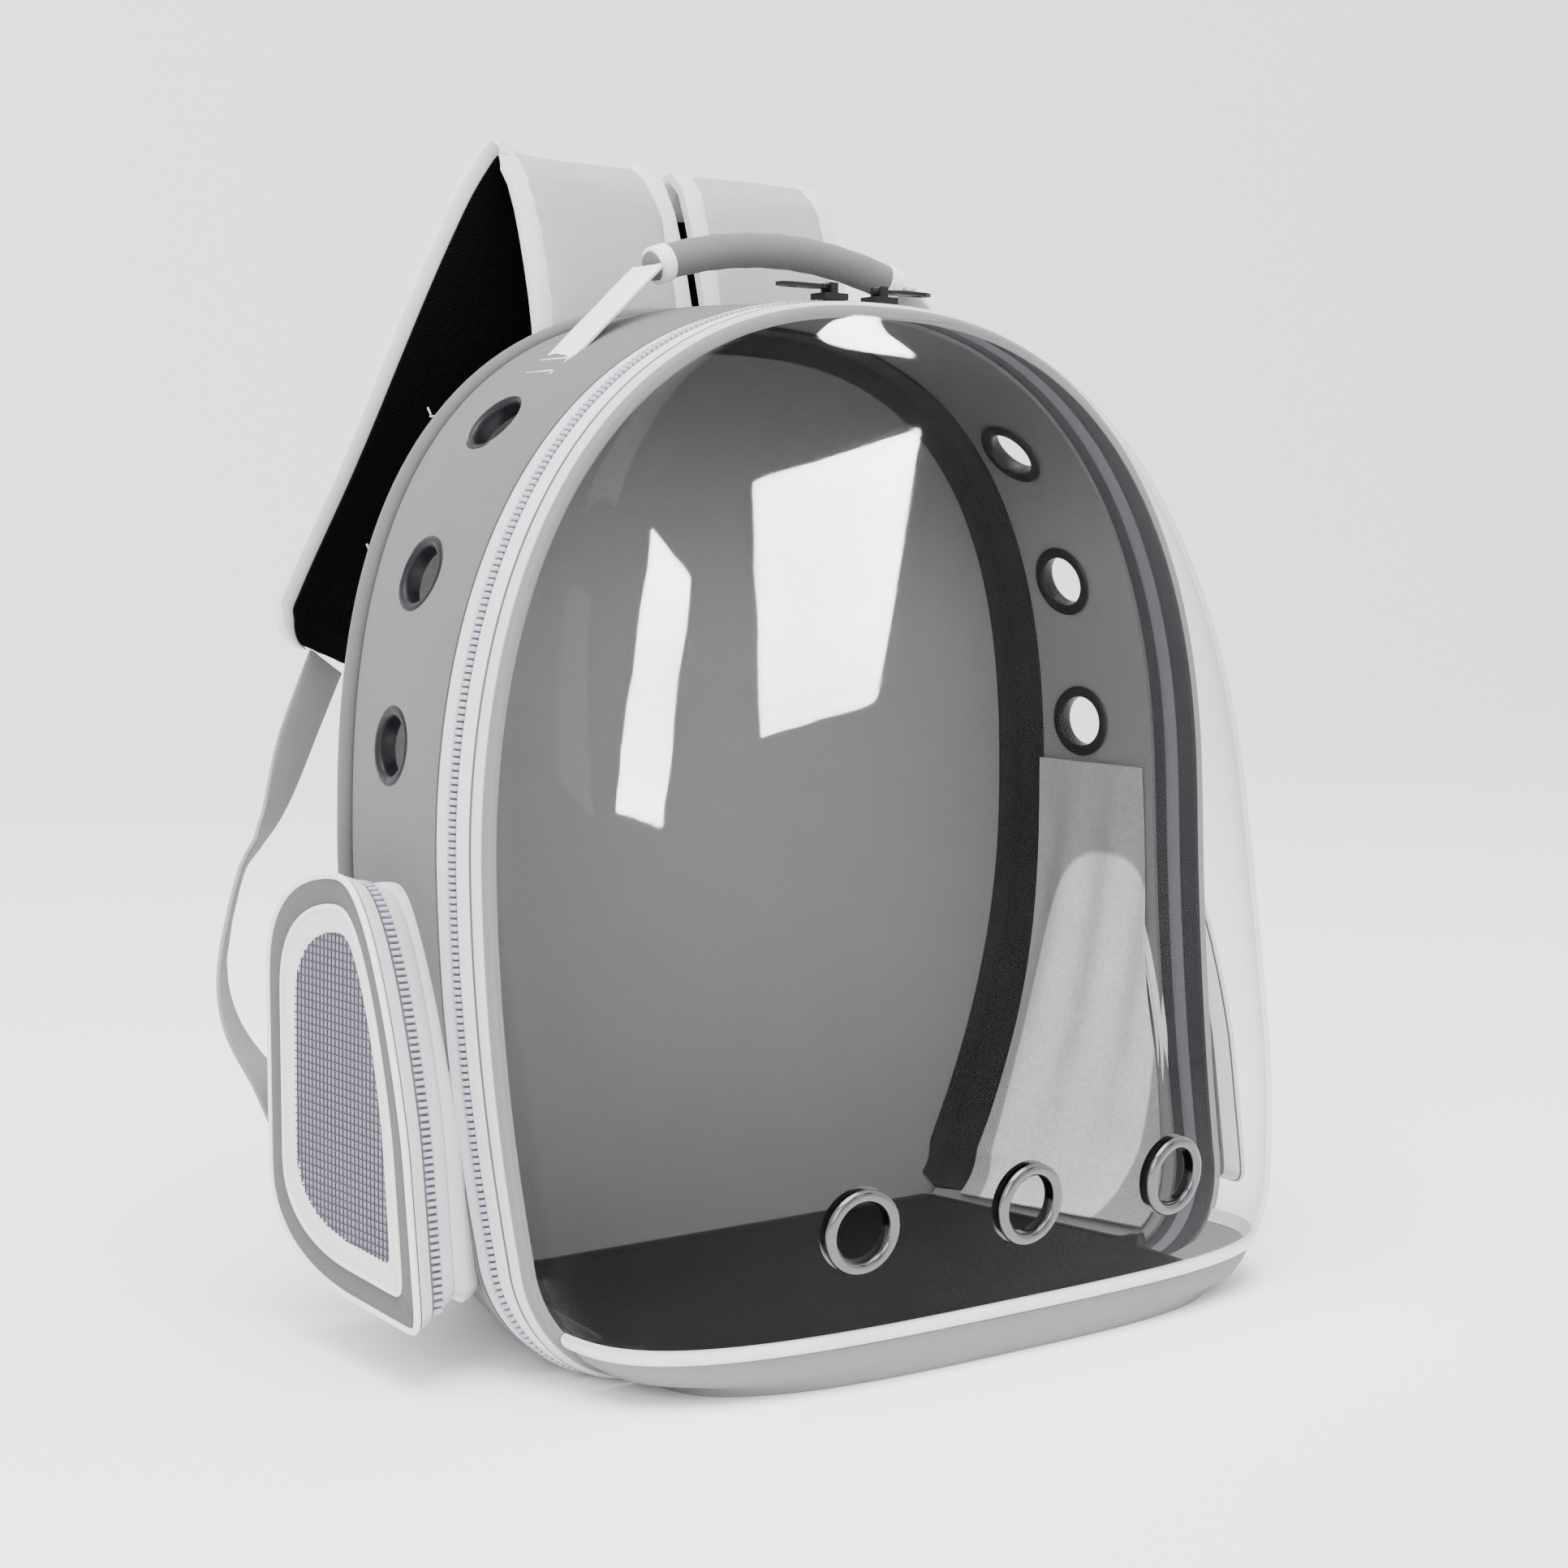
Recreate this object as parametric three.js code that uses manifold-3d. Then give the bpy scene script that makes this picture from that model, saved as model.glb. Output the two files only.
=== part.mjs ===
// Bubble pet carrier backpack, in millimetres, +Z up, front towards -Y.
// The origin is the middle of the resting base, under the seam between the side wall and the main zip.
import * as THREE from 'three';
import { mergeVertices } from 'three/addons/utils/BufferGeometryUtils.js';
import Module from 'manifold-3d';

const wasm = await Module();
wasm.setup();

// Clearance between pieces that touch on the real object, and where both of them curve
const gap = 0.3;
const curvedGap = 1.2;

// Body seen from the front: an arch on straight sides with round lower corners
const frontShape = { width: 350, height: 377, shoulder: 170, power: 2.33, tuck: 5, corner: 43 };
const backShape = { width: 333, height: 378, shoulder: 179, power: 2.57, tuck: 38, corner: 28 };
const sideDepth = 74;
const sideThickness = 3;
const backThickness = 8;
const baseThickness = 3;
const stationsPerSide = 20;

// The front seam runs forward below this height, by this much at the floor
const sweepHeight = 200;
const seamSweep = 31;
const doorSweep = 27;

// Main zip and the door's edge, measured forward from the seam
const tapeWidth = 8.5;
const teethWidth = 5;
const bindingWidth = 7.5;
const bindingTurn = 3.6;
const tapeThickness = 1.4;
const teethThickness = 2.6;
const teethLift = 0.6;
const bindingThickness = 2.6;
const doorDepth = 2 * tapeWidth + teethWidth + bindingWidth;

// Clear front: wall, lower edge and bulge
const bubbleWall = 2;
const stripHeight = 14;
const stripWall = 2.4;
const sillHeight = 5;
const sillThickness = 3.2;
const sillLift = 0.4;
const bubbleReach = 84;
const leastReach = 2.4;
const planPowerLow = 3.1;
const planPowerHigh = 2.4;
const bubbleRows = 10;
const bubbleColumns = 16;
const apexShare = 0.992;

// Bulge at the middle: height as a share of the door's, reach as a share of bubbleReach
const bulgeProfile = [
  { rise: 0.00, reach: 0.89 },
  { rise: 0.05, reach: 0.93 },
  { rise: 0.15, reach: 1.00 },
  { rise: 0.23, reach: 1.00 },
  { rise: 0.40, reach: 0.87 },
  { rise: 0.58, reach: 0.70 },
  { rise: 0.70, reach: 0.55 },
  { rise: 0.80, reach: 0.39 },
  { rise: 0.90, reach: 0.21 },
  { rise: 0.97, reach: 0.08 },
  { rise: 1.00, reach: 0.03 },
];

// Eyelets, with heights as shares of the front's height
const eyeletRadius = 15;
const eyeletHole = 10.5;
const eyeletNeck = 12;
const eyeletFlange = 1.5;
const eyeletSides = 10;
const sideEyeletRises = [0.568, 0.729, 0.873];
const sideEyeletShare = 0.5;
const frontEyeletHeight = 55;
const frontEyeletSpacing = 74;

// Floor mat, and the strip that covers the inner back corner
const matThickness = 6;
const matSpreadLow = 0;
const matSpreadHigh = 13;
const matFrontMargin = 2;
const cornerStripWidth = 15;
const cornerStripThickness = 1.7;
const liningFoot = 13;

// Side pockets
const pocketLength = 109;
const pocketHeight = 150;
const pocketFront = -31;
const pocketFloor = 21;
const pocketSink = 5;
const pocketRoot = 60;
const pocketBand = 8;
const pocketTape = 7;
const pocketTeeth = 5;
const pocketDepth = pocketBand + 2 * pocketTape + pocketTeeth;
const pocketBaseShare = 0.8;
const pocketBaseRise = 0.88;
const pocketBaseShift = 5;
const pocketWall = 2.4;
const pocketFrameWidth = 11;
const pocketBorderWidth = 9;
const pocketPlate = 2;
const pocketPane = 0.8;
const pocketSides = 18;
const windowMargin = 16;
const linerTop = 196;
const linerThickness = 0.8;
const linerMargin = 5;

// Carry handle
const handleAnchorRise = 0.934;
const handleTailRise = 0.917;
const handleTop = 401;
const gripLength = 120;
const gripDiameter = 14;
const gripSag = 10;
const gripSides = 10;
const gripSteps = 8;
const handleWebbing = 20;
const webbingThickness = 2;

// Shoulder straps
const strapWidth = 75;
const strapThickness = 9;
const strapSpacing = 82;
const strapPeak = 438;
const strapLean = 53;
const strapTurn = 20;
const strapSplayLeft = 101;
const strapSplayRight = 25;
const strapSteps = 22;
const liningThickness = 1;
const liningStart = 9;
const liningLift = 1.1;
const liningShare = 0.86;
const liningCrown = 0.28;

// Strap centreline: rise as a share of strapPeak, lean of strapLean, splay of the side's own splay
const strapPath = [
  { rise: 0.762, lean: 0.00, splay: 0.00, turn: 0.0, broad: 1 },
  { rise: 0.800, lean: 0.00, splay: 0.00, turn: 0.0, broad: 1 },
  { rise: 0.844, lean: 0.03, splay: 0.00, turn: 0.0, broad: 1 },
  { rise: 0.889, lean: 0.11, splay: 0.00, turn: 0.0, broad: 1 },
  { rise: 0.948, lean: 0.26, splay: 0.00, turn: 0.0, broad: 1 },
  { rise: 0.980, lean: 0.36, splay: 0.01, turn: 0.0, broad: 1 },
  { rise: 0.997, lean: 0.47, splay: 0.02, turn: 0.0, broad: 1 },
  { rise: 1.000, lean: 0.59, splay: 0.03, turn: 0.0, broad: 1 },
  { rise: 0.986, lean: 0.70, splay: 0.06, turn: 0.1, broad: 1 },
  { rise: 0.957, lean: 0.76, splay: 0.13, turn: 0.2, broad: 1 },
  { rise: 0.907, lean: 0.79, splay: 0.25, turn: 0.3, broad: 1 },
  { rise: 0.807, lean: 0.83, splay: 0.47, turn: 0.5, broad: 1 },
  { rise: 0.700, lean: 0.90, splay: 0.70, turn: 0.8, broad: 1 },
  { rise: 0.594, lean: 0.98, splay: 0.92, turn: 0.9, broad: 1 },
  { rise: 0.566, lean: 0.99, splay: 0.975, turn: 1.0, broad: 0.93 },
  { rise: 0.551, lean: 1.00, splay: 1.00, turn: 1.0, broad: 0.62 },
];

// Webbing below each strap: swing out from the strap's tip, then home to the lower back corner
const tailWidth = 25;
const tailTurn = 60;
const tailSwingLeft = 57;
const tailSwingRight = 50;
const tailSteps = 20;
const tailHome = 0.97;
const tailPath = [
  { swing: 0.24, home: 0.00, lean: 0.97, rise: 0.880, turn: 0.5 },
  { swing: 0.44, home: 0.00, lean: 0.90, rise: 0.780, turn: 0.7 },
  { swing: 0.61, home: 0.00, lean: 0.83, rise: 0.720, turn: 0.9 },
  { swing: 0.78, home: 0.00, lean: 0.77, rise: 0.660, turn: 1.0 },
  { swing: 0.98, home: 0.00, lean: 0.60, rise: 0.540, turn: 1.0 },
  { swing: 1.00, home: 0.00, lean: 0.43, rise: 0.445, turn: 0.9 },
  { swing: 1.00, home: 0.13, lean: 0.30, rise: 0.360, turn: 0.7 },
  { swing: 1.00, home: 0.32, lean: 0.18, rise: 0.270, turn: 0.2 },
  { swing: 1.00, home: 0.66, lean: 0.06, rise: 0.190, turn: 0.0 },
  { swing: 1.00, home: 0.97, lean: 0.01, rise: 0.135, turn: 0.0 },
  { swing: 1.00, home: 1.15, lean: 0.01, rise: 0.110, turn: 0.0 },
];

// Zip sliders and their pull tabs
const sliderSpacing = 24;
const sliderLength = 11;
const sliderWidth = 9;
const sliderThickness = 2.5;
const cheekLength = 3.2;
const cheekInner = 4.2;
const cheekThickness = 1.2;
const pivotRadius = 0.6;
const pivotClearance = 0.4;
const eyeWall = 1;
const tabLength = 24;
const tabWidth = 7;
const tabThickness = 1.4;
const tabNeck = 4.4;

const looks = {
  wall: { color: 0x9a9aa0, roughness: 0.9, metalness: 0 },
  back: { color: 0x87878d, roughness: 0.95, metalness: 0 },
  dark: { color: 0x3d3b44, roughness: 0.9, metalness: 0 },
  mat: { color: 0x46454c, roughness: 1, metalness: 0 },
  tape: { color: 0xf1f1f4, roughness: 0.8, metalness: 0 },
  teeth: { color: 0xb9b6cf, roughness: 0.5, metalness: 0 },
  clear: { color: 0xeef0f4, roughness: 0.08, metalness: 0, transparent: true, opacity: 0.25 },
  edge: { color: 0xe4e4e8, roughness: 0.5, metalness: 0 },
  plum: { color: 0x4d4560, roughness: 0.35, metalness: 0.4 },
  chrome: { color: 0xb8b8c2, roughness: 0.2, metalness: 1 },
  liner: { color: 0xb4b4ba, roughness: 0.8, metalness: 0 },
  net: { color: 0x77738c, roughness: 0.7, metalness: 0 },
  webbing: { color: 0xeeeeee, roughness: 0.85, metalness: 0 },
  grip: { color: 0x8b8b91, roughness: 0.8, metalness: 0 },
  strap: { color: 0xa2a2a8, roughness: 0.9, metalness: 0 },
  lining: { color: 0x18181b, roughness: 1, metalness: 0 },
};

const group = new THREE.Group();
group.name = 'bubble_pet_carrier_backpack';

const mix = (from, to, share) => from + (to - from) * share;
const clamp = (value, low, high) => Math.min(high, Math.max(low, value));
const vec = (x, y, z) => new THREE.Vector3(x, y, z);

// A closed body from points and triangles, welded and facing outwards
function bodyGeometry(points, faces) {
  const places = new Map();
  const positions = [];
  const renamed = points.map((point) => {
    const key = point.toArray().map((value) => Math.round(value * 1e4)).join(',');
    if (!places.has(key)) {
      places.set(key, positions.length / 3);
      positions.push(...point.toArray());
    }
    return places.get(key);
  });
  const index = [];
  for (const face of faces) {
    const [a, b, c] = face.map((corner) => renamed[corner]);
    if (a !== b && b !== c && c !== a) index.push(a, b, c);
  }
  const corner = (slot) => vec(...positions.slice(3 * index[slot], 3 * index[slot] + 3));
  let volume = 0;
  for (let i = 0; i < index.length; i += 3) {
    volume += corner(i).dot(corner(i + 1).cross(corner(i + 2)));
  }
  if (volume < 0) index.reverse();
  const geometry = new THREE.BufferGeometry();
  geometry.setAttribute('position', new THREE.Float32BufferAttribute(positions, 3));
  geometry.setIndex(index);
  geometry.computeVertexNormals();
  return geometry;
}

// A wall between two grids of points with the same rows and columns
function shellGeometry(outer, inner, closed = false) {
  const rows = outer.length;
  const columns = outer[0].length;
  const points = [...outer.flat(), ...inner.flat()];
  const out = (i, j) => (i % rows) * columns + j;
  const into = (i, j) => rows * columns + out(i, j);
  const faces = [];
  const quad = (a, b, c, d) => faces.push([a, b, c], [a, c, d]);
  const steps = closed ? rows : rows - 1;
  for (let i = 0; i < steps; i += 1) {
    for (let j = 0; j < columns - 1; j += 1) {
      quad(out(i, j), out(i + 1, j), out(i + 1, j + 1), out(i, j + 1));
      quad(into(i, j + 1), into(i + 1, j + 1), into(i + 1, j), into(i, j));
    }
    quad(out(i + 1, 0), out(i, 0), into(i, 0), into(i + 1, 0));
    const last = columns - 1;
    quad(out(i, last), out(i + 1, last), into(i + 1, last), into(i, last));
  }
  if (!closed) {
    const end = rows - 1;
    for (let j = 0; j < columns - 1; j += 1) {
      quad(out(0, j), out(0, j + 1), into(0, j + 1), into(0, j));
      quad(out(end, j + 1), out(end, j), into(end, j), into(end, j + 1));
    }
  }
  return bodyGeometry(points, faces);
}

// A solid through closed rings of points, capped at both ends by a ladder from each ring's first point
function loftGeometry(rings) {
  const count = rings[0].length;
  const points = rings.flat();
  const faces = [];
  for (let r = 0; r < rings.length - 1; r += 1) {
    for (let i = 0; i < count; i += 1) {
      const next = (i + 1) % count;
      const low = r * count;
      const high = low + count;
      faces.push([low + i, low + next, high + next], [low + i, high + next, high + i]);
    }
  }
  const last = (rings.length - 1) * count;
  for (let k = 0; k < (count - 1) / 2; k += 1) {
    const [a, b, c, d] = [k, k + 1, count - 2 - k, count - 1 - k];
    faces.push([c, b, a], [d, c, a]);
    faces.push([last + a, last + b, last + c], [last + a, last + c, last + d]);
  }
  return bodyGeometry(points, faces);
}

// A closed profile of [radius, height] turned about Z
function spunGeometry(profile, sides) {
  const points = [];
  for (let i = 0; i < sides; i += 1) {
    const angle = (2 * Math.PI * i) / sides;
    for (const [radius, height] of profile) {
      points.push(vec(radius * Math.cos(angle), radius * Math.sin(angle), height));
    }
  }
  const count = profile.length;
  const at = (i, j) => (i % sides) * count + (j % count);
  const faces = [];
  for (let i = 0; i < sides; i += 1) {
    for (let j = 0; j < count; j += 1) {
      faces.push([at(i, j), at(i + 1, j), at(i + 1, j + 1)], [at(i, j), at(i + 1, j + 1), at(i, j + 1)]);
    }
  }
  return bodyGeometry(points, faces);
}

function circleRing(radius, height, sides) {
  return Array.from({ length: sides }, (_, i) => {
    const angle = (2 * Math.PI * i) / sides;
    return vec(radius * Math.cos(angle), radius * Math.sin(angle), height);
  });
}

function boxGeometry(low, high) {
  const ring = (z) => [
    vec(low[0], low[1], z),
    vec(high[0], low[1], z),
    vec(high[0], high[1], z),
    vec(low[0], high[1], z),
  ];
  return loftGeometry([ring(low[2]), ring(high[2])]);
}

function mirrored(geometry) {
  const places = geometry.attributes.position;
  const points = Array.from({ length: places.count }, (_, i) => (
    vec(-places.getX(i), places.getY(i), places.getZ(i))
  ));
  const faces = [];
  for (let i = 0; i < geometry.index.count; i += 3) {
    faces.push([geometry.index.getX(i), geometry.index.getX(i + 1), geometry.index.getX(i + 2)]);
  }
  return bodyGeometry(points, faces);
}

function toSolid(geometry) {
  let plain = geometry.clone();
  plain.deleteAttribute('normal');
  plain.deleteAttribute('uv');
  plain = mergeVertices(plain, 1e-4);
  return new wasm.Manifold(new wasm.Mesh({
    numProp: 3,
    vertProperties: plain.attributes.position.array,
    triVerts: new Uint32Array(plain.index.array),
  }));
}

function fromSolid(solid) {
  const mesh = solid.getMesh();
  const geometry = new THREE.BufferGeometry();
  geometry.setAttribute('position', new THREE.Float32BufferAttribute(mesh.vertProperties, 3));
  geometry.setIndex(Array.from(mesh.triVerts));
  geometry.computeVertexNormals();
  return geometry;
}

function cutFrom(geometry, tools) {
  return fromSolid(tools.reduce((solid, tool) => solid.subtract(toSolid(tool)), toSolid(geometry)));
}

function joined(geometries) {
  return fromSolid(geometries.map(toSolid).reduce((all, next) => all.add(next)));
}

function addPart(name, geometry, look) {
  const mesh = new THREE.Mesh(geometry, new THREE.MeshStandardMaterial(look));
  mesh.name = name;
  group.add(mesh);
}

// Half the outline from the floor up, then its mirror image, with inward normals
function outline(shape) {
  const half = shape.width / 2;
  const foot = half - shape.tuck;
  const turns = 60;
  const dense = [];
  for (let i = 0; i <= turns; i += 1) {
    const angle = (Math.PI / 2) * (i / turns);
    const x = foot - shape.corner + shape.corner * Math.sin(angle);
    dense.push(new THREE.Vector2(-x, shape.corner * (1 - Math.cos(angle))));
  }
  for (let i = 1; i <= turns; i += 1) {
    const z = mix(shape.corner, shape.shoulder, i / turns);
    const below = (shape.shoulder - z) / (shape.shoulder - shape.corner);
    dense.push(new THREE.Vector2(-(half - shape.tuck * below ** 2), z));
  }
  for (let i = 1; i <= 2 * turns; i += 1) {
    const angle = (Math.PI / 2) * (i / (2 * turns));
    const x = half * Math.max(0, Math.cos(angle)) ** (2 / shape.power);
    const rise = Math.sin(angle) ** (2 / shape.power);
    dense.push(new THREE.Vector2(-x, mix(shape.shoulder, shape.height, rise)));
  }
  const lengths = [0];
  for (let i = 1; i < dense.length; i += 1) {
    lengths.push(lengths[i - 1] + dense[i].distanceTo(dense[i - 1]));
  }
  const left = [];
  for (let i = 0; i <= stationsPerSide; i += 1) {
    const want = (lengths.at(-1) * i) / stationsPerSide;
    const after = Math.max(1, lengths.findIndex((length) => length >= want - 1e-9));
    const share = (want - lengths[after - 1]) / (lengths[after] - lengths[after - 1]);
    left.push(dense[after - 1].clone().lerp(dense[after], clamp(share, 0, 1)));
  }
  const right = left.slice(0, -1).reverse().map((point) => new THREE.Vector2(-point.x, point.y));
  const all = [...left, ...right];
  return all.map((point, i) => {
    const along = all[Math.min(i + 1, all.length - 1)].clone().sub(all[Math.max(i - 1, 0)]);
    along.normalize();
    const ends = i === 0 || i === all.length - 1;
    const normal = ends ? new THREE.Vector2(0, 1) : new THREE.Vector2(along.y, -along.x);
    return { x: point.x, z: point.y, nx: normal.x, nz: normal.y };
  });
}

const frontOutline = outline(frontShape);
const backOutline = outline(backShape);
const lastStation = frontOutline.length - 1;

// A station between two of the outline's own
function stationAt(list, place) {
  const low = clamp(Math.floor(place), 0, lastStation - 1);
  const share = place - low;
  const a = list[low];
  const b = list[low + 1];
  return {
    x: mix(a.x, b.x, share),
    z: mix(a.z, b.z, share),
    nx: mix(a.nx, b.nx, share),
    nz: mix(a.nz, b.nz, share),
  };
}

const wallShares = [0, sideEyeletShare, 1];
const seamLean = (height) => clamp((sweepHeight - height) / sweepHeight, 0, 1) ** 2;

// A point of the side wall: share 0 at the front seam, 1 at the back, depth measured inwards
function wallPoint(place, share, depth) {
  const a = stationAt(frontOutline, place);
  const b = stationAt(backOutline, place);
  const normal = new THREE.Vector2(mix(a.nx, b.nx, share), mix(a.nz, b.nz, share)).normalize();
  return vec(
    mix(a.x, b.x, share) + normal.x * depth,
    mix(-seamSweep * seamLean(a.z), sideDepth, share),
    mix(a.z, b.z, share) + normal.y * depth,
  );
}

// The place along the left half where the wall reaches a height
function placeAtHeight(height, share) {
  let low = 0;
  let high = stationsPerSide;
  for (let i = 0; i < 40; i += 1) {
    const middle = (low + high) / 2;
    if (wallPoint(middle, share, 0).z < height) low = middle;
    else high = middle;
  }
  return low;
}

function wallNormal(place, share) {
  const along = wallPoint(place + 0.2, share, 0).sub(wallPoint(place - 0.2, share, 0));
  const back = wallPoint(place, share + 0.1, 0).sub(wallPoint(place, share - 0.1, 0));
  const normal = along.cross(back).normalize();
  return normal.z < 0 ? normal.negate() : normal;
}

function shareAtDepth(place, y) {
  const seam = wallPoint(place, 0, 0).y;
  return (y - seam) / (sideDepth - seam);
}

// A point of the zip and door edge: forward from the seam, depth inwards
function doorPoint(place, forward, depth) {
  const station = stationAt(frontOutline, place);
  const turned = clamp((forward - doorDepth + bindingWidth) / bindingWidth, 0, 1);
  const inset = bindingTurn * turned ** 2 + depth;
  const sweep = mix(seamSweep, doorSweep, forward / doorDepth);
  return vec(
    station.x + station.nx * inset,
    -forward - sweep * seamLean(station.z),
    station.z + station.nz * inset,
  );
}

function wallGrid(places, shares, depth) {
  return places.map((place) => shares.map((share) => wallPoint(place, share, depth)));
}

function doorGrid(forwards, depth) {
  const grid = [];
  for (let place = 0; place <= lastStation; place += 1) {
    grid.push(forwards.map((forward) => doorPoint(place, forward, depth)));
  }
  return grid;
}

function doorBand(forwards, depth, thickness) {
  return shellGeometry(doorGrid(forwards, depth), doorGrid(forwards, depth + thickness));
}

// Half width and front face of the door's edge at a height
const doorEdge = Array.from({ length: stationsPerSide + 1 }, (_, place) => doorPoint(place, doorDepth, 0));
function doorEdgeAt(height) {
  if (height <= doorEdge[0].z) return { half: -doorEdge[0].x, y: doorEdge[0].y };
  const above = Math.max(1, doorEdge.findIndex((point) => point.z >= height));
  const low = doorEdge[above - 1];
  const high = doorEdge[above];
  const share = (height - low.z) / (high.z - low.z);
  return { half: -mix(low.x, high.x, share), y: mix(low.y, high.y, share) };
}

const doorTop = frontShape.height - bindingTurn;
const bulgeCurve = new THREE.SplineCurve(bulgeProfile.map((row) => new THREE.Vector2(row.rise, row.reach)));
const bulgePoints = bulgeCurve.getPoints(200);
function reachAt(rise) {
  const above = bulgePoints.findIndex((point) => point.x >= rise);
  if (above < 0) return bulgePoints.at(-1).y * bubbleReach;
  if (above === 0) return bulgePoints[0].y * bubbleReach;
  const low = bulgePoints[above - 1];
  const high = bulgePoints[above];
  return mix(low.y, high.y, (rise - low.x) / (high.x - low.x)) * bubbleReach;
}

// A point of the clear front's plan curve at a height, from the left edge round to the right
function frontPoint(height, angle, inset) {
  const edge = doorEdgeAt(height);
  const rise = clamp(height / doorTop, 0, 1);
  const power = mix(planPowerLow, planPowerHigh, rise);
  const half = edge.half - gap - inset;
  const reach = Math.max(edge.y + doorDepth + reachAt(rise), leastReach) - inset;
  const across = Math.cos(angle);
  return vec(
    -half * Math.sign(across) * Math.abs(across) ** (2 / power),
    edge.y - curvedGap - reach * Math.max(0, Math.sin(angle)) ** (2 / power),
    height,
  );
}

function frontRow(height, inset) {
  return Array.from({ length: bubbleColumns + 1 }, (_, i) => (
    frontPoint(height, (Math.PI * i) / bubbleColumns, inset)
  ));
}

// The same grid moved along its own normals, away from the viewer in front
function thickened(grid, distance) {
  const rows = grid.length;
  const columns = grid[0].length;
  return grid.map((row, i) => row.map((point, j) => {
    const up = grid[Math.min(i + 1, rows - 1)][j].clone().sub(grid[Math.max(i - 1, 0)][j]);
    const right = row[Math.min(j + 1, columns - 1)].clone().sub(row[Math.max(j - 1, 0)]);
    const normal = up.cross(right).normalize();
    const moved = point.clone().addScaledVector(normal, distance);
    moved.y = Math.min(moved.y, row[0].y);
    if (i === 0) moved.z = point.z;
    return moved;
  }));
}

function spool(wall, grow) {
  const half = wall / 2 + gap - grow;
  const top = wall / 2 + gap + eyeletFlange + (grow ? 4 * grow : 0);
  return { half, top };
}

function orient(geometry, centre, normal) {
  geometry.applyQuaternion(new THREE.Quaternion().setFromUnitVectors(vec(0, 0, 1), normal));
  geometry.translate(centre.x, centre.y, centre.z);
  return geometry;
}

function eyeletGeometry(centre, normal, wall) {
  const { half, top } = spool(wall, 0);
  const profile = [
    [eyeletHole, -top],
    [eyeletRadius, -top],
    [eyeletRadius, -half],
    [eyeletNeck, -half],
    [eyeletNeck, half],
    [eyeletRadius, half],
    [eyeletRadius, top],
    [eyeletHole, top],
  ];
  return orient(spunGeometry(profile, eyeletSides), centre, normal);
}

function eyeletCut(centre, normal, wall) {
  const { half, top } = spool(wall, gap);
  const rings = [
    circleRing(eyeletRadius + gap, -top, eyeletSides),
    circleRing(eyeletRadius + gap, -half, eyeletSides),
    circleRing(eyeletNeck + gap, -half, eyeletSides),
    circleRing(eyeletNeck + gap, half, eyeletSides),
    circleRing(eyeletRadius + gap, half, eyeletSides),
    circleRing(eyeletRadius + gap, top, eyeletSides),
  ];
  return orient(loftGeometry(rings), centre, normal);
}

// A closed loop of flat points moved inwards
function insetLoop(loop, distance) {
  const count = loop.length;
  const edgeNormal = (a, b) => {
    const along = b.clone().sub(a).normalize();
    return new THREE.Vector2(-along.y, along.x);
  };
  return loop.map((point, i) => {
    const before = edgeNormal(loop[(i + count - 1) % count], point);
    const after = edgeNormal(point, loop[(i + 1) % count]);
    const both = before.clone().add(after);
    return point.clone().addScaledVector(both, distance / Math.max(0.5, 1 + before.dot(after)));
  });
}

const pocketShape = new THREE.Shape();
pocketShape.moveTo(0, 0);
pocketShape.lineTo(0.45, 0.02);
pocketShape.quadraticCurveTo(0.9, 0.05, 0.98, 0.22);
pocketShape.lineTo(1, 0.75);
pocketShape.bezierCurveTo(1, 0.93, 0.75, 1, 0.5, 1);
pocketShape.bezierCurveTo(0.33, 1, 0.16, 0.66, 0.08, 0.4);
pocketShape.closePath();
const pocketLoop = pocketShape.getSpacedPoints(pocketSides).slice(0, pocketSides);

// The pocket's outline at a height above its root, inset by a wall
function pocketRing(side, lift, inset) {
  const share = clamp(lift / pocketDepth, 0, 1);
  const middleY = pocketFront + pocketLength / 2;
  const middleZ = pocketFloor + pocketHeight / 2;
  const flat = pocketLoop.map((point) => new THREE.Vector2(
    middleY + (point.x - 0.5) * pocketLength * mix(pocketBaseShare, 1, share) + pocketBaseShift * (1 - share),
    middleZ + (point.y - 0.5) * pocketHeight * mix(pocketBaseRise, 1, share),
  ));
  const x = side * (frontShape.width / 2 - pocketSink + lift);
  return insetLoop(flat, inset).map((point) => vec(x, point.x, point.y));
}

function pocketLayer(side, lifts, outerInset, innerInset) {
  const outer = lifts.map((lift) => pocketRing(side, lift, outerInset));
  const inner = lifts.map((lift) => pocketRing(side, lift, innerInset));
  const across = (rings) => rings[0].map((_, i) => rings.map((ring) => ring[i]));
  return shellGeometry(across(outer), across(inner), true);
}

// Frames along a spline through the rows, with the width turned about the vertical
function framesAlong(rows, steps) {
  const curve = new THREE.CatmullRomCurve3(rows.map((row) => row.at));
  return Array.from({ length: steps + 1 }, (_, i) => {
    const along = i / steps;
    const slot = along * (rows.length - 1);
    const low = Math.min(Math.floor(slot), rows.length - 2);
    const turn = mix(rows[low].turn, rows[low + 1].turn, slot - low);
    const broad = mix(rows[low].broad, rows[low + 1].broad, slot - low);
    const tangent = curve.getTangent(along);
    const across = vec(Math.cos(turn), Math.sin(turn), 0);
    across.addScaledVector(tangent, -across.dot(tangent)).normalize();
    return { at: curve.getPoint(along), tangent, across, up: tangent.clone().cross(across), broad };
  });
}

// Sections are [across, up] in millimetres
function sweepGeometry(frames, section) {
  return loftGeometry(frames.map((frame) => section.map(([across, up]) => (
    frame.at.clone()
      .addScaledVector(frame.across, across * frame.broad)
      .addScaledVector(frame.up, up)
  ))));
}

function flatSection(width, thickness) {
  return [
    [-width / 2, -thickness / 2],
    [width / 2, -thickness / 2],
    [width / 2, thickness / 2],
    [-width / 2, thickness / 2],
  ];
}

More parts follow.
